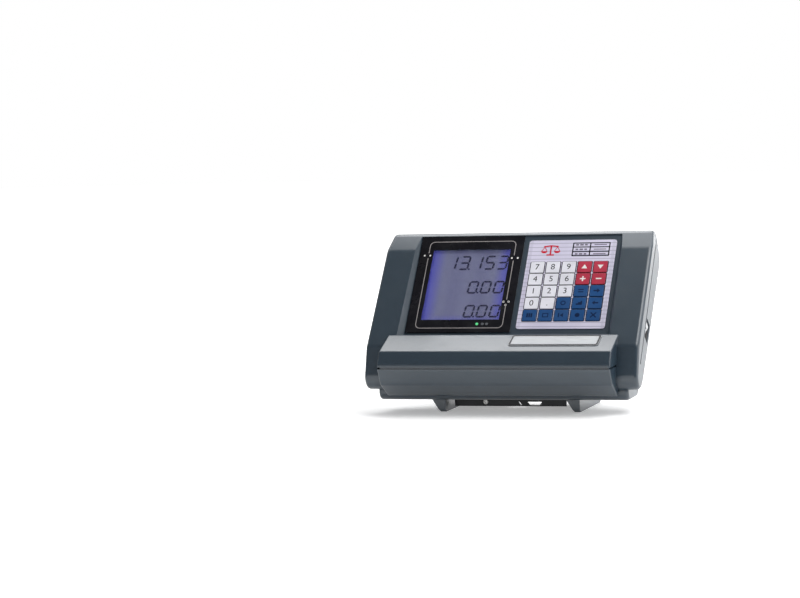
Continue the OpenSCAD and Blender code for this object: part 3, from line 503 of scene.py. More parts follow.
def board_tracks(g, i):
    """Copper tracks under a solder mask, and rows of solder pads."""
    cells = g("TexVoronoi", {"Vector": g.place(), "Scale": i["Scale"], "Randomness": 0.35},
              distance="MANHATTAN", feature="F1").outputs["Distance"]
    track = g.ramp(g.math("FRACT", g.times(cells, 3.0)), 0.42, 0.5)
    pad = g.ramp(cells, 0.13, 0.1)
    tone = g.mix(track, i["Colour"], i["Track"])
    return {"Colour": g.mix(pad, tone, i["Pad"]), "Height": track, "Metal": pad}


def make_groups():
    common = {"Colour": (0.5, 0.5, 0.5, 1.0), "Shade": (0.4, 0.4, 0.4, 1.0), "Roughness": 0.5,
              "Grain": 1000.0}
    skin = ("Colour", "Roughness", "Height")
    make_group("Moulded", {**common, "Spread": 20.0, "Rub": 0.1}, skin, moulded)
    make_group("Brushed", common, skin, brushed)
    make_group("Settled", {"Scale": DUST_SCALE, "Amount": 0.2}, ("Mask",), settled)
    make_group("Place", {}, ("Across", "Up"), placed)
    make_group("Tracks", {"Colour": (0.03, 0.18, 0.07, 1.0), "Track": (0.05, 0.26, 0.11, 1.0),
                          "Pad": (0.6, 0.6, 0.58, 1.0), "Scale": 220.0},
               ("Colour", "Height", "Metal"), board_tracks)


def start_material(name):
    material = bpy.data.materials.new(name)
    material.use_nodes = True
    material.node_tree.nodes.clear()
    g = Graph(material.node_tree)
    shader = g("BsdfPrincipled")
    g("OutputMaterial", {"Surface": shader.outputs[0]})
    MATERIALS[name] = material
    return g, shader


def bump(g, height, strength, distance=GRAIN_DEPTH):
    return g("Bump", {"Height": height, "Strength": strength, "Distance": distance}).outputs[0]


def surface(name, colour, shade, rough, grain=1800.0, spread=22.0, rub=0.08, relief=0.1, dust=0.25,
            tree="Moulded", metal=0.0, gloss=0.5):
    """Plastic, paint, film or metal. A shade may be a share of the colour."""
    g, shader = start_material(name)
    if isinstance(shade, float):
        shade = tuple(shade * x for x in colour)
    inputs = {"Colour": rgba(colour), "Shade": rgba(shade), "Roughness": rough, "Grain": grain}
    if tree == "Moulded":
        inputs.update({"Spread": spread, "Rub": rub})
    skin = g.group(tree, inputs)
    mask = g.group("Settled", {"Scale": DUST_SCALE, "Amount": dust})["Mask"]
    tone = g.mix(mask, skin["Colour"], DUST_TONE)
    g.feed(shader, {"Base Color": tone, "Roughness": g.add(skin["Roughness"], g.times(mask, 0.3)),
                    "Normal": bump(g, skin["Height"], relief), "Metallic": metal,
                    "Specular IOR Level": gloss})
    return g, shader, tone


def screen_material(tone):
    """Lit display: bluer towards its edges, paler in soft upright bands."""
    g, shader = start_material("lcd_face")
    place = g.group("Place")
    u = g.math("DIVIDE", g.math("SUBTRACT", place["Across"], VIEW_MID[0] / MM), VIEW_W / MM / 2)
    v = g.math("DIVIDE", g.math("SUBTRACT", place["Up"], VIEW_MID[1] / MM), VIEW_LEN / MM / 2)
    rim = g.ramp(g.math("ABSOLUTE", u), 0.62, 1.0)
    low = g.ramp(g.times(v, -1.0), 0.78, 1.0, 0.0, 0.7)
    pale = g.ramp(g.math("COSINE", g.times(u, 9.4)), -1.0, 1.0, 0.0, 0.45)
    middle = g.mix(pale, rgba(tone.screen), rgba(tone.screen_pale))
    colour = g.mix(g.math("MAXIMUM", rim, low), middle, rgba(tone.screen_edge))
    grain = g.ramp(g.noise(260.0, 3.0), 0.3, 0.7, 0.93, 1.05)
    lit = g("Mix", {0: 1.0, 6: colour, 7: grain}, data_type="RGBA",
            blend_type="MULTIPLY").outputs[2]
    g.feed(shader, {"Base Color": lit, "Emission Color": lit, "Emission Strength": 0.62,
                    "Roughness": g.ramp(grain, 0.9, 1.1, 0.3, 0.42)})


def glass_material():
    """Clear sheet with faint smears."""
    g, shader = start_material("clear_sheet")
    smear = g.noise(70.0, 5.0, (1, 0.4, 1))
    g.feed(shader, {"Base Color": (0.96, 0.97, 1.0, 1), "Roughness": g.ramp(smear, 0.45, 0.8, 0.03, 0.16),
                    "Transmission Weight": 1.0, "IOR": 1.2, "Normal": bump(g, smear, 0.02)})


def lamp_material(tone):
    """Lamp lenses: the left one is lit, the others are clear grey."""
    g, shader = start_material("lamp_green")
    lit = g.ramp(g.group("Place")["Across"], -27.5, -28.5)
    milky = g.ramp(g.noise(900.0, 2.0), 0.3, 0.7, 0.0, 0.2)
    tint = g.mix(milky, rgba(tone.lamp), (0.5, 0.8, 0.6, 1))
    g.feed(shader, {"Base Color": g.mix(lit, (0.1, 0.11, 0.12, 1), tint),
                    "Emission Color": g.mix(lit, (0, 0, 0, 1), tint), "Emission Strength": 0.5,
                    "Roughness": g.ramp(milky, 0.0, 0.2, 0.2, 0.3)})


def film_material(tone):
    """Printed overlay: fine ruled lines, ticks at the sides and a satin skin."""
    g, shader, base = surface("overlay_film", tone.film, tone.film_shade, 0.38, grain=2600.0, spread=14.0,
                              relief=0.06, dust=0.1)
    place = g.group("Place")
    row = g.math("FRACT", g.math("DIVIDE", place["Up"], RULE_PITCH))
    ruled = g.ramp(g.math("ABSOLUTE", g.math("SUBTRACT", row, 0.5)), 0.105, 0.06, 0.0, 0.75)
    side = g.math("ABSOLUTE", g.math("SUBTRACT", place["Across"], OVERLAY_MID[0] / MM))
    margin = g.times(g.ramp(side, 41.6, 41.9), g.ramp(side, 45.0, 44.7))
    tick = g.ramp(g.math("FRACT", g.math("DIVIDE", place["Up"], TICK_PITCH)), 0.5, 0.62)
    marks = g.times(g.times(margin, tick), 0.5)
    g.feed(shader, {"Base Color": g.mix(g.math("MAXIMUM", ruled, marks), base, rgba(tone.film_line))})


def board_material():
    g, shader = start_material("circuit_board")
    tracks = g.group("Tracks")
    g.feed(shader, {"Base Color": tracks["Colour"], "Metallic": tracks["Metal"], "Roughness": 0.35,
                    "Normal": bump(g, tracks["Height"], 0.3, 0.05 * MM)})


def make_materials(tone):
    """Every finish of the indicator, named by its slot."""
    make_groups()
    surface("case_plastic", tone.case, 0.9, tone.case_rough, grain=1500.0, spread=16.0, rub=0.04,
            relief=0.12, dust=0.015, gloss=0.8)
    surface("black_steel", TINTS["black_steel"], (0.02, 0.022, 0.024), 0.36, grain=900.0, relief=0.12,
            dust=0.1, gloss=0.3)
    surface("mask_print", (0.004, 0.004, 0.006), (0.007, 0.007, 0.01), 0.22, grain=700.0, relief=0.02,
            dust=0.03, gloss=0.2)
    surface("light_guide", (0.6, 0.65, 0.9), (0.5, 0.55, 0.85), 0.3, grain=800.0)
    surface("black_plastic", (0.022, 0.022, 0.024), (0.034, 0.034, 0.036), 0.42, grain=1600.0, relief=0.2)
    surface("silicone", TINTS["silicone"], (0.07, 0.07, 0.08), 0.6)
    for name in ("key_white", "key_red", "key_blue"):
        surface(name, getattr(tone, name), 0.86, 0.3, grain=2600.0, spread=40.0, relief=0.08, dust=0.04,
                gloss=0.3)
    surface("ribbon_film", TINTS["ribbon_film"], (0.3, 0.3, 0.33), 0.45, grain=400.0)
    surface("core_steel", TINTS["core_steel"], (0.2, 0.17, 0.14), 0.5, grain=2400.0, relief=0.4,
            tree="Brushed", metal=0.7)
    surface("coil_copper", TINTS["coil_copper"], (0.4, 0.22, 0.04), 0.4, grain=900.0, relief=0.4)
    surface("battery_case", TINTS["battery_case"], (0.05, 0.055, 0.065), 0.5)
    surface("zinc_steel", (0.55, 0.55, 0.54), (0.36, 0.36, 0.35), 0.3, grain=2600.0, relief=0.08,
            tree="Brushed", metal=1.0, dust=0.08)
    surface("rocker_plastic", TINTS["rocker_plastic"], 0.85, 0.24, grain=900.0, relief=0.04, dust=0.06)
    surface("plate_metal", (0.37, 0.385, 0.4), (0.31, 0.325, 0.34), 0.5, grain=2400.0, relief=0.08,
            tree="Brushed", metal=0.25, dust=0.05)
    for name, colour, rough in (
            ("white_ink", (0.72, 0.72, 0.7), 0.4), ("black_ink", (0.008, 0.008, 0.012), 0.35),
            ("red_ink", (0.5, 0.012, 0.03), 0.35), ("navy_ink", (0.004, 0.014, 0.05), 0.35),
            ("grey_ink", (0.16, 0.15, 0.19), 0.4), ("line_ink", (0.3, 0.28, 0.28), 0.4),
            ("digit_ink", tone.digit, 0.4)):
        surface(name, colour, 0.9, rough, grain=3000.0, spread=60.0, relief=0.03, dust=0.0, gloss=0.12)
    screen_material(tone)
    glass_material()
    lamp_material(tone)
    film_material(tone)
    board_material()


# Case

def before_seam():
    """What lies in front of the seam."""
    top_t = RECESS_LEN + 4 * WALL
    top = (PANEL_Y + top_t * SIN - SEAM_N * COS, PANEL_Z + top_t * COS + SEAM_N * SIN)
    middle = [(SEAM_Y, SEAM_Z), top, (-BIG, top[1]), (-BIG, SEAM_Z)]
    middle = prism("middle", [middle], -LIP_HALF, LIP_HALF, ACROSS)
    side = [(SEAM_Y, SEAM_Z), top, (-BIG, top[1]), (-BIG, CASE_BOTTOM),
            (SEAM_Y - SEAM_Z / 8, CASE_BOTTOM + SLAB_FOOT / 2)]
    for s in (-1, 1):
        low, high = sorted((s * LIP_HALF, s * (LIP_HALF + BIG)))
        carve(middle, prism("side", [side], low, high, ACROSS), "UNION", "EXACT")
    return middle


def recess(side, depth, top):
    """Body of the recess in front of the panel."""
    outline = [(-RECESS_HALF - side, -depth), (RECESS_HALF + side, -depth),
               (RECESS_HALF + SPLAY + side, SPLAY_DEPTH), (-RECESS_HALF - SPLAY - side, SPLAY_DEPTH)]
    turn = Matrix(((1, 0, 0, 0), (0, 0, -1, 0), (0, 1, 0, 0), (0, 0, 0, 1)))
    return prism("recess", [outline], -RECESS_LEN - top, RECESS_LEN / 6, PANEL @ turn)


def case_walls():
    """The closed shell of the case, before it is parted at the seam."""
    outer = wrapped_bar("outer", SLAB, SLAB_HALF, SLAB_EDGE)
    carve(outer, wrapped_bar("outer_back", BACK, BACK_HALF, BACK_EDGE), "UNION")
    carve(outer, recess(0, 0, 0))
    carve(outer, wrapped_bar("outer_lip", LIP, LIP_HALF, LIP_EDGE), "UNION")
    inner = wrapped_bar("inner", SLAB, SLAB_HALF, inset=WALL)
    carve(inner, wrapped_bar("inner_back", BACK, BACK_HALF, inset=WALL), "UNION")
    carve(inner, recess(WALL, FLOOR, WALL))
    carve(outer, inner)
    return carve(outer, wrapped_bar("inner_lip", LIP, LIP_HALF, inset=WALL))


def key_spot(col, row):
    """Middle of a key, with row 0 at the bottom."""
    return KEY_X0 + col * KEY_PITCH[0], KEY_T0 + row * KEY_PITCH[1]


class INDICATOR_OT_front_case(Operator):
    """Front shell: cheeks, sunk panel and lip, with its openings"""
    bl_idname = "indicator.front_case"
    bl_label = "Front shell"

    def execute(self, context):
        shell = case_walls()
        copy_of(shell, "rear_housing")
        carve(shell, before_seam(), "INTERSECT")
        carve(shell, rods("posts", CASE_SCREWS, BOSS_R, SEAM_N, BOSS_R), "UNION")
        view = rounded(VIEW_W + VIEW_MARGIN[0], VIEW_LEN + VIEW_MARGIN[1], 0.6 * MM,
                       (VIEW_MID[0], VIEW_MID[1] - 0.2 * MM))
        lamps = [(x * MM, LAMPS_T) for x in (-31, -25.2, -20.8)]
        field = rounded(*FIELD, key_spot(2, 2))
        carve(shell, together("holes", [
            prism("opening", [view], -2 * FLOOR, FLOOR),
            rods("lamp_holes", lamps, LAMP_R, -2 * FLOOR, FLOOR, 24),
            prism("field", [field], -FIELD_DEPTH, FLOOR)]))
        stems = [key_spot(col, row) for row in range(5) for col in range(5)]
        carve(shell, rods("stems", stems, STEM_R, -2 * FLOOR, 0, 20))
        shell.name = "front_housing"
        soften(shell, context.scene.indicator_case.edge)
        dress(shell, "case_plastic", "root", "case_plastic", "front_case")
        return {"FINISHED"}


class INDICATOR_OT_rear_case(Operator):
    """Rear shell with its seam groove, ports, switch opening and screw wells"""
    bl_idname = "indicator.rear_case"
    bl_label = "Rear shell"

    def execute(self, context):
        shell = bpy.data.objects["rear_housing"]
        carve(shell, before_seam())
        band = [rounded(2 * LIP_HALF + 2 * MM, 62.4 * MM, MM, (0, NOSE_Y + 30.2 * MM)),
                rounded(2 * LIP_HALF - 2 * GROOVE, 56 * MM, MM, (0, NOSE_Y + GROOVE + 28 * MM))]
        carve(shell, prism("band", [band], SEAM_Z - GROOVE, SEAM_Z + MM, STAND))
        for s in (-1, 1):
            low, high = sorted((s * (SLAB_HALF - GROOVE), s * SLAB_HALF * 1.2))
            side = box(low, SEAM_T, high, SEAM_T + 2 * RECESS_LEN)
            carve(shell, prism("side_groove", [side], SEAM_N - GROOVE, SEAM_N + MM))
        bosses = rods("bosses", CASE_SCREWS, BOSS_R, -SLAB_DEPTH / 2, SEAM_N)
        carve(bosses, wrapped_bar("slab", SLAB, SLAB_HALF, SLAB_EDGE), "INTERSECT")
        carve(shell, bosses, "UNION")
        x, t, n = SWITCH
        deep, side, up = SWITCH_PAD
        pad = box(x - deep, t - side, x + MM, t + side)
        carve(shell, prism("pad", [pad], n - up, n + up), "UNION")
        carve(shell, rods("wells", CASE_SCREWS, WELL_R, -SLAB_DEPTH / 2, SEAM_N - WELL_DROP))
        shafts = [rods("screw_shafts", CASE_SCREWS, SHAFT_R, -SLAB_DEPTH / 2, SEAM_N + MM, 20)]
        shafts += [rods("port", [port], r, BACK_N - WALL, BACK_N + 2 * WALL, 48) for port, r in PORTS]
        carve(shell, together("shafts", shafts))
        for reach, side, up in SWITCH_CUTS:
            opening = box(SLAB_HALF - reach, t - side, SLAB_HALF + 4 * MM, t + side)
            carve(shell, prism("cut_out", [opening], n - up, n + up))
        soften(shell, context.scene.indicator_case.edge)
        dress(shell, "case_plastic", "root", "case_plastic", "rear_case")
        return {"FINISHED"}


class INDICATOR_OT_feet(Operator):
    """The two feet and the steel bracket, with rounded edges"""
    bl_idname = "indicator.feet"
    bl_label = "Feet and bracket"

    def execute(self, context):
        for side in ("left", "right"):
            dressed_copy(f"{side}_foot", f"{side}_foot_shape", 0.5 * MM, segments=3)
        dressed_copy("column_bracket", "bracket_shape", 0.35 * MM)
        return {"FINISHED"}


# Display

SEGMENTS = {"0": "abcdef", "1": "bc", "3": "abgcd", "5": "afgcd"}
READINGS = (("13.153", 79.6 * MM, 1.0), ("0.00", 50.5 * MM, 0.87), ("0.00", 21.4 * MM, 0.87))
NUMBER_LEAN = tan(radians(7))
NUMBER_MARGIN = 3.6 * MM
POINT = 1.9 * MM


def seven_segments(sign, x, y, w, h, thick):
    """Outlines of one slanted number made of bars."""
    gap = 0.09 * thick
    half = thick / 2
    ends = {"a": ((0, h), (w, h)), "b": ((w, h), (w, h / 2)), "c": ((w, h / 2), (w, 0)),
            "d": ((0, 0), (w, 0)), "e": ((0, h / 2), (0, 0)), "f": ((0, h), (0, h / 2)),
            "g": ((0, h / 2), (w, h / 2))}
    outlines = []
    for bar in SEGMENTS[sign]:
        a, b = (Vector(p) for p in ends[bar])
        along = (b - a).normalized()
        across = Vector((-along.y, along.x)) * half
        a, b = a + along * gap, b - along * gap
        shape = [a, a + along * half - across, b - along * half - across, b,
                 b - along * half + across, a + along * half + across]
        outlines.append([(x + p.x + NUMBER_LEAN * p.y, y + p.y) for p in shape])
    return outlines


def mask_print(line):
    """White line with dots, printed on the mask."""
    left, right, low, high, r = mm(-96, -3.9, 5.6, 111.3, 5)

    def corner(x, y, start):
        return [around((x, y), (r, r), start - 15 * k) for k in range(7)]
    top = [(left, 97.6 * MM), *corner(left + r, high - r, 180), *corner(right - r, high - r, 90),
           (right, 93.6 * MM)]
    base = [(right, 34.5 * MM), *corner(right - r, low + r, 0), *corner(left + r, low + r, -90),
            (left, 91.4 * MM)]
    side = [(right, 87 * MM), (right, 39.5 * MM)]
    ink("mask_lines", [stroke(path, line) for path in (top, base, side)], MASK_TOP, "line_ink", "mask_print")
    dots = [rounded(*mm(1.7, 1.9, 0.5), mm(*spot), 3)
            for spot in ((-100.2, 94.6), (-94.2, 94.6), (-5.9, 90.3), (0.4, 90.3))]
    dots += [[rounded(*mm(2.2, 2.2, 1.05), mm(*spot), 4), rounded(*mm(1.2, 1.2, 0.55), mm(*spot), 4)]
             for spot in ((-6.9, 37), (-1.5, 37), (-4.2, 33))]
    ink("mask_dots", dots, MASK_TOP, "white_ink", "mask_print")


class INDICATOR_OT_display(Operator):
    """Lit display, its numbers, the printed mask with its line, and the lamps"""
    bl_idname = "indicator.display"
    bl_label = "Display"

    def execute(self, context):
        size = context.scene.indicator_display
        outlines = []
        w = size.digit_width
        for text, t, share_of in READINGS:
            x = VIEW_MID[0] + VIEW_W / 2 - NUMBER_MARGIN - w
            for sign in reversed(text):
                if sign == ".":
                    outlines.append(rounded(POINT, POINT, 0.3 * MM, (x + w + POINT, t + 0.1 * MM), 2))
                    continue
                outlines += seven_segments(sign, x, t, w, size.digit_height * share_of, size.digit_thick)
                x -= size.digit_pitch
        digits = prism("display_numbers", outlines, CELL_TOP + 0.01 * MM, CELL_TOP + 0.08 * MM)
        dress(digits, "digit_ink", "root", "lcd_face")
        mask_print(size.line)
        dressed_copy("display_mask", "mask_frame", 0.12 * MM, segments=1)
        dressed_copy("status_lamps", "lamp_lenses", 0.35 * MM, segments=3)
        return {"FINISHED"}


# Keypad

def polygon_plus(a, b):
    return [(-b, -a), (b, -a), (b, -b), (a, -b), (a, b), (b, b), (b, a), (-b, a), (-b, b), (-a, b), (-a, -b),
            (-b, -b)]


def turned(points, degrees):
    c, s = cos(radians(degrees)), sin(radians(degrees))
    return [(c * x - s * y, s * x + c * y) for x, y in points]


ARROW = [(-3.2, 0), (-0.4, -2.4), (-0.4, -0.8), (3.2, -0.8), (3.2, 0.8), (-0.4, 0.8), (-0.4, 2.4)]
SIGNS = {
    "up": [[(-2.9, -2), (2.9, -2), (0, 2.6)]],
    "down": [[(2.9, 2), (-2.9, 2), (0, -2.6)]],
    "plus": [polygon_plus(2.8, 0.65)],
    "minus": [box(-2.8, -0.65, 2.8, 0.65)],
    "equals": [box(-2.7, 0.7, 2.7, 1.9), box(-2.7, -1.9, 2.7, -0.7)],
    "times": [turned(polygon_plus(3.9, 0.62), 45)],
    "back": [ARROW],
    "on": [turned(ARROW, 180)],
    "ring": [[rounded(5.2, 5.2, 2.55), rounded(3.2, 3.2, 1.55)]],
    "square": [[rounded(6, 4.8, 0.4, (0, 0), 2), rounded(4.2, 3, 0.3, (0, 0), 2)]],
    "bars": [box(-2.9, -2.3, -1.3, 2.3), box(-0.8, -2.3, 0.8, 2.3), box(1.3, -2.3, 2.9, 2.3)],
    "step": [[(-3, -2.3), (3, -2.3), (3, 2.3), (1.4, 2.3), (1.4, 0.8), (-0.8, 0.8), (-0.8, -0.7),
              (-3, -0.7)]],
    "disc": [rounded(4.8, 4.8, 2.35)],
    "ends": [box(-3.2, -2.3, -2, 2.3), [(-1.4, 0), (1.8, -2.3), (1.8, 2.3)]],
}
KEY_SIGNS = [row.split() for row in ("7 8 9 up down", "4 5 6 plus minus", "1 2 3 equals on",
                                     "0 . ring step back", "bars square ends disc times")]
SIGN_INKS = {"key_white": "black_ink", "key_red": "white_ink", "key_blue": "navy_ink"}


def key_cap(name, size):
    """Copy of the key with a raised pillow on its top face."""
    out = PANEL.to_3x3() @ Vector((0, 0, 1))
    ob = node_copy(name, name.replace("key", "cap"))
    merge(ob)
    mesh_all("DESELECT")
    mesh = bmesh.from_edit_mesh(ob.data)
    level = max(vert.co.dot(out) for vert in mesh.verts)
    for face in mesh.faces:
        height = face.calc_center_median().dot(out)
        face.select = face.normal.dot(out) > 0.999 and level - height < 0.02 * MM
    bmesh.update_edit_mesh(ob.data)
    bpy.ops.mesh.inset(thickness=0.45 * MM, depth=size.pillow)
    mode("OBJECT")
    soften(ob, 0.22 * MM, 2, 40, 50)
    dress(ob, SLOTS[name], name, SLOTS[name], name)


def key_mark(name, sign, spot, size):
    """A number or a plain sign, as a thin layer of ink."""
    level = KEY_TOP + size.pillow
    if sign not in SIGNS:
        fresh()
        bpy.ops.object.text_add()
        text = bpy.context.object.data
        text.body, text.size = sign, size.number
        text.align_x, text.align_y = "CENTER", "CENTER"
        text.extrude, text.resolution_u = 0.02 * MM, 4
        bpy.ops.object.convert(target="MESH")
        ob = bpy.context.object
        ob.name = name
        ob.data.transform(PANEL @ Matrix.Translation((*spot, level + 0.02 * MM)))
        return ob

    def moved(points):
        return [(spot[0] + x * size.sign, spot[1] + y * size.sign) for x, y in points]
    outlines = [[moved(p) for p in o] if isinstance(o[0], list) else moved(o) for o in SIGNS[sign]]
    return prism(name, outlines, level - 0.01 * MM, level + 0.04 * MM)


class INDICATOR_OT_keys(Operator):
    """Twenty-five pillowed keys, each with its number or sign"""
    bl_idname = "indicator.keys"
    bl_label = "Keys"

    def execute(self, context):
        size = context.scene.indicator_keypad
        for row, signs in enumerate(KEY_SIGNS):
            for col, sign in enumerate(signs):
                name = f"key_r{row + 1}c{col + 1}"
                key_cap(name, size)
                mark = key_mark(name.replace("key", "sign"), sign, key_spot(col, 4 - row), size)
                dress(mark, SIGN_INKS[SLOTS[name]], name, SLOTS[name])
        return {"FINISHED"}


WORD_BARS = [mm(3.4, 6.2, 0.95), mm(7.6, 11.2, 0.95), mm(12.6, 15.4, 0.95), mm(22.5, 35.5, 0.55)]


def film_table():
    """Printed table: its ruled frame, and bars in the place of words."""
    x0, x1, t0, t1, b, split = mm(56.5, 95.8, 91.9, 108.7, 1.25, 18.6)
    mid = ((x0 + x1) / 2, (t0 + t1) / 2)
    third = (t1 - t0) / 3
    middle = x0 + split
    frame_lines = [[rounded(x1 - x0, t1 - t0, 0.6 * MM, mid, 2),
                    rounded(x1 - x0 - 2 * b, t1 - t0 - 2 * b, 0.3 * MM, mid, 2)]]
    frame_lines += [box(x0 + b, t0 + k * third - b / 2, x1 - b, t0 + k * third + b / 2) for k in (1, 2)]
    bars = []
    for k in range(3):
        low = t0 + (b if k == 0 else k * third + b / 2)
        high = t0 + (k + 1) * third - (b if k == 2 else b / 2)
        frame_lines.append(box(middle - b / 2, low, middle + b / 2, high))
        level = t0 + (k + 0.5) * third
        for start, end, thick in WORD_BARS:
            bars.append(box(x0 + start, level - thick, x0 + end, level + thick))
    return frame_lines, bars


def balance():
    """Outlines of a pair of scales."""
    x, t = mm(34, 99.2)
    strokes = [(((-7.6, 4.9), (0, 5.9), (7.6, 4.9)), 1.5), (((0, 5.1), (0, -4.6)), 1.7),
               (((-4, -5.4), (4, -5.4)), 1.6)]
    strokes += [(((s * foot, -0.6), (s * 6.6, 4.3)), 0.7) for s in (-1, 1) for foot in (9.6, 3.9)]
    mark = [stroke([(x + a * MM, t + c * MM) for a, c in path], width * MM) for path, width in strokes]
    return mark + [[around((x + s * 6.75 * MM, t - 0.6 * MM), mm(3.4, 2.6), a) for a in range(180, 361, 20)]
                   for s in (-1, 1)]


class INDICATOR_OT_overlay(Operator):
    """Keypad film with its printed rings, table and balance mark"""
    bl_idname = "indicator.overlay"
    bl_label = "Keypad film"

    def execute(self, context):
        rings = [[rounded(KEY_W + 1.9 * MM, KEY_LEN + 1.4 * MM, 1.4 * MM, key_spot(col, row), 3),
                  rounded(KEY_W + 0.4 * MM, KEY_LEN + 0.4 * MM, 0.9 * MM, key_spot(col, row), 3)]
                 for row in range(5) for col in range(5)]
        frame_lines, bars = film_table()
        for name, outlines, tint in (
                ("key_rings", rings, "black_ink"), ("table_lines", frame_lines, "black_ink"),
                ("table_bars", bars, "grey_ink"), ("balance_mark", balance(), "red_ink")):
            ink(name, outlines, OVERLAY_TOP, tint, "overlay_film")
        dressed_copy("keypad_overlay", "keypad_film", 0.12 * MM, segments=1)
        return {"FINISHED"}


# Fittings

class INDICATOR_OT_nameplate(Operator):
    """Bare metal plate on the lip, with a black ring round its rim as painted shadow of the gap round the
    plate
    """
    bl_idname = "indicator.nameplate"
    bl_label = "Nameplate"

    def execute(self, context):
        plate = dressed_copy("nameplate", "metal_plate", 0.2 * MM)
        top = max(plate.data.polygons, key=lambda p: p.area if p.normal.z > 0.2 else 0)
        across, up = Vector((1, 0, 0)), top.normal.copy()
        place = Matrix((across, up.cross(across), up)).transposed().to_4x4()
        corners = [plate.data.vertices[i].co for i in top.vertices]
        place.translation = sum(corners, Vector()) / len(corners)
        # Black ring round the plate's rim: painted shadow that stands for the shaded gap of the pocket the
        # plate sits in
        ring = [rounded(*mm(91.4, 21.4, 2.7)), rounded(*mm(87.6, 17, 1.6))]
        gap_shadow = prism("plate_border", [ring], -PRINT_SINK, PRINT_RISE, place)
        dress(gap_shadow, "black_ink", "root", "plate_metal")
        return {"FINISHED"}


class INDICATOR_OT_ports(Operator):
    """Cable bush, fuse holder and load cell socket on the rear face"""
    bl_idname = "indicator.ports"
    bl_label = "Rear ports"

    def execute(self, context):
        for node, name in (("mains_gland", "cable_bush"), ("fuse_holder", "fuse_body"),
                           ("fuse_cap", "fuse_top"), ("loadcell_socket", "round_socket")):
            dressed_copy(node, name, 0.3 * MM, limit=35, smooth=40)
        rings = []
        for k in range(6):
            fresh()
            bpy.ops.mesh.primitive_torus_add(
                major_radius=7.86 * MM, minor_radius=0.3 * MM, major_segments=56, minor_segments=8,
                location=(*RIGHT_PORT, BACK_N - (3.2 + 0.95 * k) * MM))
            ring = keep("thread")
            ring.data.transform(PANEL)
            rings.append(ring)
        thread = together("socket_thread", rings)
        bpy.ops.object.shade_smooth()
        dress(thread, "zinc_steel", "root", "zinc_steel")
        return {"FINISHED"}


class INDICATOR_OT_switch(Operator):
    """Power switch with its rocker and the two rocker marks"""
    bl_idname = "indicator.switch"
    bl_label = "Power switch"

    def execute(self, context):
        dressed_copy("power_switch", "switch_body", 0.25 * MM, limit=40)
        dressed_copy("power_rocker", "rocker_shape", 0.3 * MM, segments=3, limit=20, smooth=30)
        x, t, n = SWITCH
        pivot = PANEL @ Matrix.Translation((x - 3 * MM, t, n)) @ Matrix.Rotation(radians(-8), 4, "Z")
        half, rise, mark_t = 7.92, 1.2, 4.2
        ring = [rounded(*mm(3.6, 3.6, 1.75)), rounded(*mm(2.2, 2.2, 1.05))]
        stand_up = Matrix(((0, 0, 1, 0), (0, 1, 0, 0), (-1, 0, 0, 0), (0, 0, 0, 1)))
        bar = box(*mm(-1.9, -0.4, 1.9, 0.4))
        for name, side, outline in (("rocker_bar", 1, bar), ("rocker_ring", -1, ring)):
            at = Matrix.Translation(((2.4 + rise * mark_t / half) * MM, side * mark_t * MM, 0))
            slope = Matrix.Rotation(-side * atan2(rise, half), 4, "Z")
            ob = prism(name, [outline], -0.03 * MM, 0.05 * MM, pivot @ at @ slope @ stand_up)
            dress(ob, "black_ink", "power_rocker", "rocker_plastic")
        return {"FINISHED"}


class INDICATOR_OT_inside(Operator):
    """Screws, and the finish of every part inside the case"""
    bl_idname = "indicator.inside"
    bl_label = "Screws and inner parts"

    def execute(self, context):
        for node, name in (("case_screws", "cheek_screws"), ("base_screws", "foot_and_bracket_screws")):
            dressed_copy(node, name, 0.12 * MM, segments=1, limit=35, smooth=40)
        for node, ob in frame["nodes"].items():
            if not ob.hide_render:
                ob.data.materials.clear()
                ob.data.materials.append(MATERIALS[SLOTS[node]])
        return {"FINISHED"}


# Stage

# Name, place, size and watts of each lamp
LAMPS = (("key", (0.9, -0.35, 1.5), (0.9, 0.9), 9), ("side", (1.6, 0.1, 0.45), (0.8, 0.9), 7),
         ("front", (-0.7, -2.2, 0.3), (2.0, 0.5), 5), ("top", (0.15, 0.2, 0.72), (1.25, 0.68), 6),
         ("back", (-0.3, 1.0, 1.38), (2.2, 0.8), 13), ("rim", (0.95, 1.7, 0.45), (1.1, 0.84), 12))
LAMP_AIM = (0, 0, 0.09)
# Even light, what shines in the case from the camera's side and from behind, and the floor's own light
FILL, FRONT_GLOW, BACK_GLOW, FLOOR_LIFT = 0.38, 0.18, 0.42, 0.3
LENS, ROLL = 121.5, radians(1.98)
AIM_LEFT, AIM_UP = 0.096, 0.1049


def seen_by(g):
    """The ray kinds, and those that see the surface itself."""
    rays = g("LightPath").outputs
    return rays, g.math("MAXIMUM", rays["Is Camera Ray"], rays["Is Transmission Ray"])


def make_floor(stage):
    """Pale floor that keeps the shadow and reads white further out."""
    fresh()
    bpy.ops.mesh.primitive_plane_add(size=12, location=(0, 0, -0.2 * MM))
    floor = keep("floor")
    g, shader = start_material("floor_white")
    level = stage.floor_tone
    mottle = g.ramp(g.noise(3.0), 0.3, 0.7)
    away = g("VectorMath", {0: g.place()}, operation="LENGTH").outputs["Value"]
    rays, seen = seen_by(g)
    glow = g.times(seen, g.ramp(away, 0.25, 1.2, FLOOR_LIFT, 1.0))
    glow = g.math("MAXIMUM", glow, g.times(rays["Is Glossy Ray"], 0.35))
    g.feed(shader, {"Base Color": g.mix(mottle, rgba((level * 0.97,) * 3), rgba((level,) * 3)),
                    "Roughness": 0.9, "Emission Strength": 1.0,
                    "Emission Color": g.mix(glow, (0, 0, 0, 1), (1, 1, 1, 1))})
    floor.data.materials.append(MATERIALS["floor_white"])


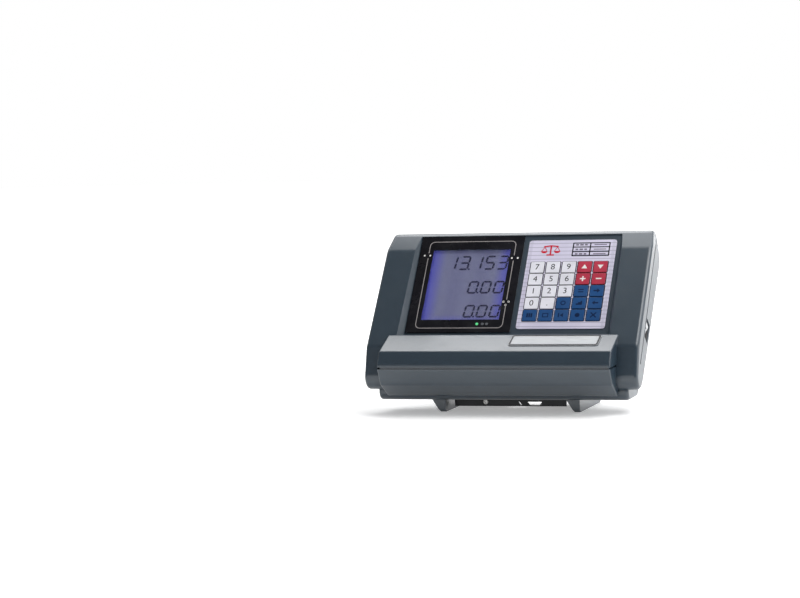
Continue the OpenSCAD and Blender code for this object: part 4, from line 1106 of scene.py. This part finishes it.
def make_light(scene, stage):
    """World that is white to the camera, and the lamps of the studio."""
    world = bpy.data.worlds.new("studio")
    scene.world = world
    world.use_nodes = True
    world.node_tree.nodes.clear()
    g = Graph(world.node_tree)
    rays, seen = seen_by(g)
    way = g("SeparateXYZ", {0: g("TexCoord").outputs["Generated"]}).outputs
    shine = g.times(rays["Is Glossy Ray"], g.ramp(way[1], -0.25, 0.25, FRONT_GLOW, BACK_GLOW))
    soft = g.times(g.math("SUBTRACT", 1.0, rays["Is Glossy Ray"]), FILL)
    level = g.math("MAXIMUM", seen, g.add(shine, soft))
    back = g("Background", {"Color": (1, 1, 1, 1), "Strength": level})
    g("OutputWorld", {"Surface": back.outputs[0]})
    for name, place, size, power in LAMPS:
        fresh()
        bpy.ops.object.light_add(type="AREA", location=place)
        lamp = bpy.context.object
        lamp.name = name
        lamp.data.shape, lamp.data.size, lamp.data.size_y = "RECTANGLE", *size
        lamp.data.energy = power * stage.power
        towards = Vector(LAMP_AIM) - Vector(place)
        lamp.rotation_euler = towards.to_track_quat("-Z", "Y").to_euler()


def make_camera(scene, stage):
    """Long lens on a fixed place round the object, aimed beside it."""
    a, e = stage.azimuth, stage.elevation
    back = Vector((sin(a) * cos(e), -cos(a) * cos(e), sin(e)))
    right = Vector((cos(a), sin(a), 0))
    zero = STAND.to_translation()
    place = zero + stage.distance * back
    aim = zero - AIM_LEFT * right + AIM_UP * back.cross(right)
    back = (place - aim).normalized()
    right = Vector((0, 0, 1)).cross(back).normalized()
    up = back.cross(right)
    c, s = cos(ROLL), sin(ROLL)
    right, up = c * right - s * up, s * right + c * up
    data = bpy.data.cameras.new("view")
    data.lens, data.sensor_width = LENS, 36
    data.clip_start, data.clip_end = 0.05, 60
    camera = bpy.data.objects.new("view", data)
    scene.collection.objects.link(camera)
    camera.matrix_world = Matrix.Translation(place) @ Matrix((right, up, back)).transposed().to_4x4()
    scene.camera = camera
    scene.view_settings.view_transform = "Standard"


class INDICATOR_OT_stage(Operator):
    """Pale floor, studio light and the camera"""
    bl_idname = "indicator.stage"
    bl_label = "Stage"

    def execute(self, context):
        stage = context.scene.indicator_stage
        make_floor(stage)
        make_light(context.scene, stage)
        make_camera(context.scene, stage)
        return {"FINISHED"}


# Settings, panel and registration

def number(name, text, default, **options):
    return bpy.props.FloatProperty(name=name, description=text, default=default, **options)


length = partial(number, min=0, unit="LENGTH", precision=5)
share = partial(number, min=0, max=1, subtype="FACTOR")


def colour(what, value):
    return bpy.props.FloatVectorProperty(name=what.capitalize(), description=f"Colour of the {what}",
                                         default=value, subtype="COLOR", min=0, max=1)


def angle(name, text, degrees):
    return number(name, text, radians(degrees), subtype="ANGLE")


class CaseSettings(PropertyGroup):
    edge: length("Edge rounding", "Rounding of the case's sharp edges", 0.45 * MM)


class DisplaySettings(PropertyGroup):
    digit_width: length("Number width", "Width of a number between its upright bars", 8.8 * MM)
    digit_height: length("Number height", "Height of a number", 15.4 * MM)
    digit_thick: length("Bar width", "Width of a number's bars", 2.1 * MM)
    digit_pitch: length("Number pitch", "Distance from number to number", 13.6 * MM)
    line: length("Line width", "Width of the mask's white line", 0.8 * MM)


class KeypadSettings(PropertyGroup):
    pillow: length("Pillow", "Rise of a key's middle", 0.12 * MM)
    number: length("Number size", "Size of the numbers on the keys", 9.5 * MM)
    sign: length("Sign scale", "Length that one unit of a sign stands for", 1.05 * MM)


class FinishSettings(PropertyGroup):
    case: colour("case plastic", (0.021, 0.038, 0.056))
    case_rough: share("Case roughness", "Roughness of the case plastic", 0.31)
    screen: colour("lit display", (0.058, 0.061, 0.118))
    screen_pale: colour("display's paler bands", (0.078, 0.081, 0.135))
    screen_edge: colour("display's edges", (0.036, 0.038, 0.21))
    digit: colour("display's numbers", (0.012, 0.012, 0.035))
    lamp: colour("lit lamp", (0.05, 0.5, 0.16))
    film: colour("keypad film", (0.6, 0.575, 0.7))
    film_shade: colour("keypad film's darker patches", (0.49, 0.47, 0.6))
    film_line: colour("keypad film's fine lines", (0.26, 0.25, 0.34))
    key_white: colour("number keys", TINTS["key_white"])
    key_red: colour("red keys", TINTS["key_red"])
    key_blue: colour("blue keys", (0.008, 0.06, 0.19))


class StageSettings(PropertyGroup):
    azimuth: angle("Azimuth", "Camera angle round the object", 16.15)
    elevation: angle("Elevation", "Camera angle above the horizon", 6.87)
    distance: length("Distance", "Distance of the camera", 2.7)
    floor_tone: share("Floor tone", "Tone of the pale floor", 0.9)
    power: number("Lamp power", "Share of the lamps' full power", 1, min=0, subtype="FACTOR")


SETTINGS = {"indicator_case": CaseSettings, "indicator_display": DisplaySettings,
            "indicator_keypad": KeypadSettings, "indicator_finish": FinishSettings,
            "indicator_stage": StageSettings}


class INDICATOR_OT_finishes(Operator):
    """Materials of every slot, from the finish settings"""
    bl_idname = "indicator.finishes"
    bl_label = "Finishes"

    def execute(self, context):
        make_materials(context.scene.indicator_finish)
        return {"FINISHED"}


STEPS = (INDICATOR_OT_finishes, INDICATOR_OT_front_case, INDICATOR_OT_rear_case, INDICATOR_OT_feet,
         INDICATOR_OT_display, INDICATOR_OT_overlay, INDICATOR_OT_keys, INDICATOR_OT_nameplate,
         INDICATOR_OT_ports, INDICATOR_OT_switch, INDICATOR_OT_inside, INDICATOR_OT_stage)


class INDICATOR_PT_tools(Panel):
    """Sizes, colours and build steps of the indicator"""
    bl_idname = "INDICATOR_PT_tools"
    bl_label = "Weighing indicator"
    bl_space_type = "VIEW_3D"
    bl_region_type = "UI"
    bl_category = "Indicator"

    def draw(self, context):
        for name, kind in SETTINGS.items():
            box_ui = self.layout.box()
            for field in kind.__annotations__:
                box_ui.prop(getattr(context.scene, name), field)
        for step in STEPS:
            self.layout.operator(step.bl_idname)


def register():
    for kind in (*SETTINGS.values(), *STEPS, INDICATOR_PT_tools):
        bpy.utils.register_class(kind)
    for name, kind in SETTINGS.items():
        setattr(bpy.types.Scene, name, bpy.props.PointerProperty(type=kind))


def unregister():
    for name in SETTINGS:
        delattr(bpy.types.Scene, name)
    for kind in (INDICATOR_PT_tools, *reversed(STEPS), *reversed(SETTINGS.values())):
        bpy.utils.unregister_class(kind)


def main():
    register()
    for step in STEPS:
        getattr(bpy.ops.indicator, step.bl_idname.partition(".")[2])()


if __name__ == "__main__":
    main()
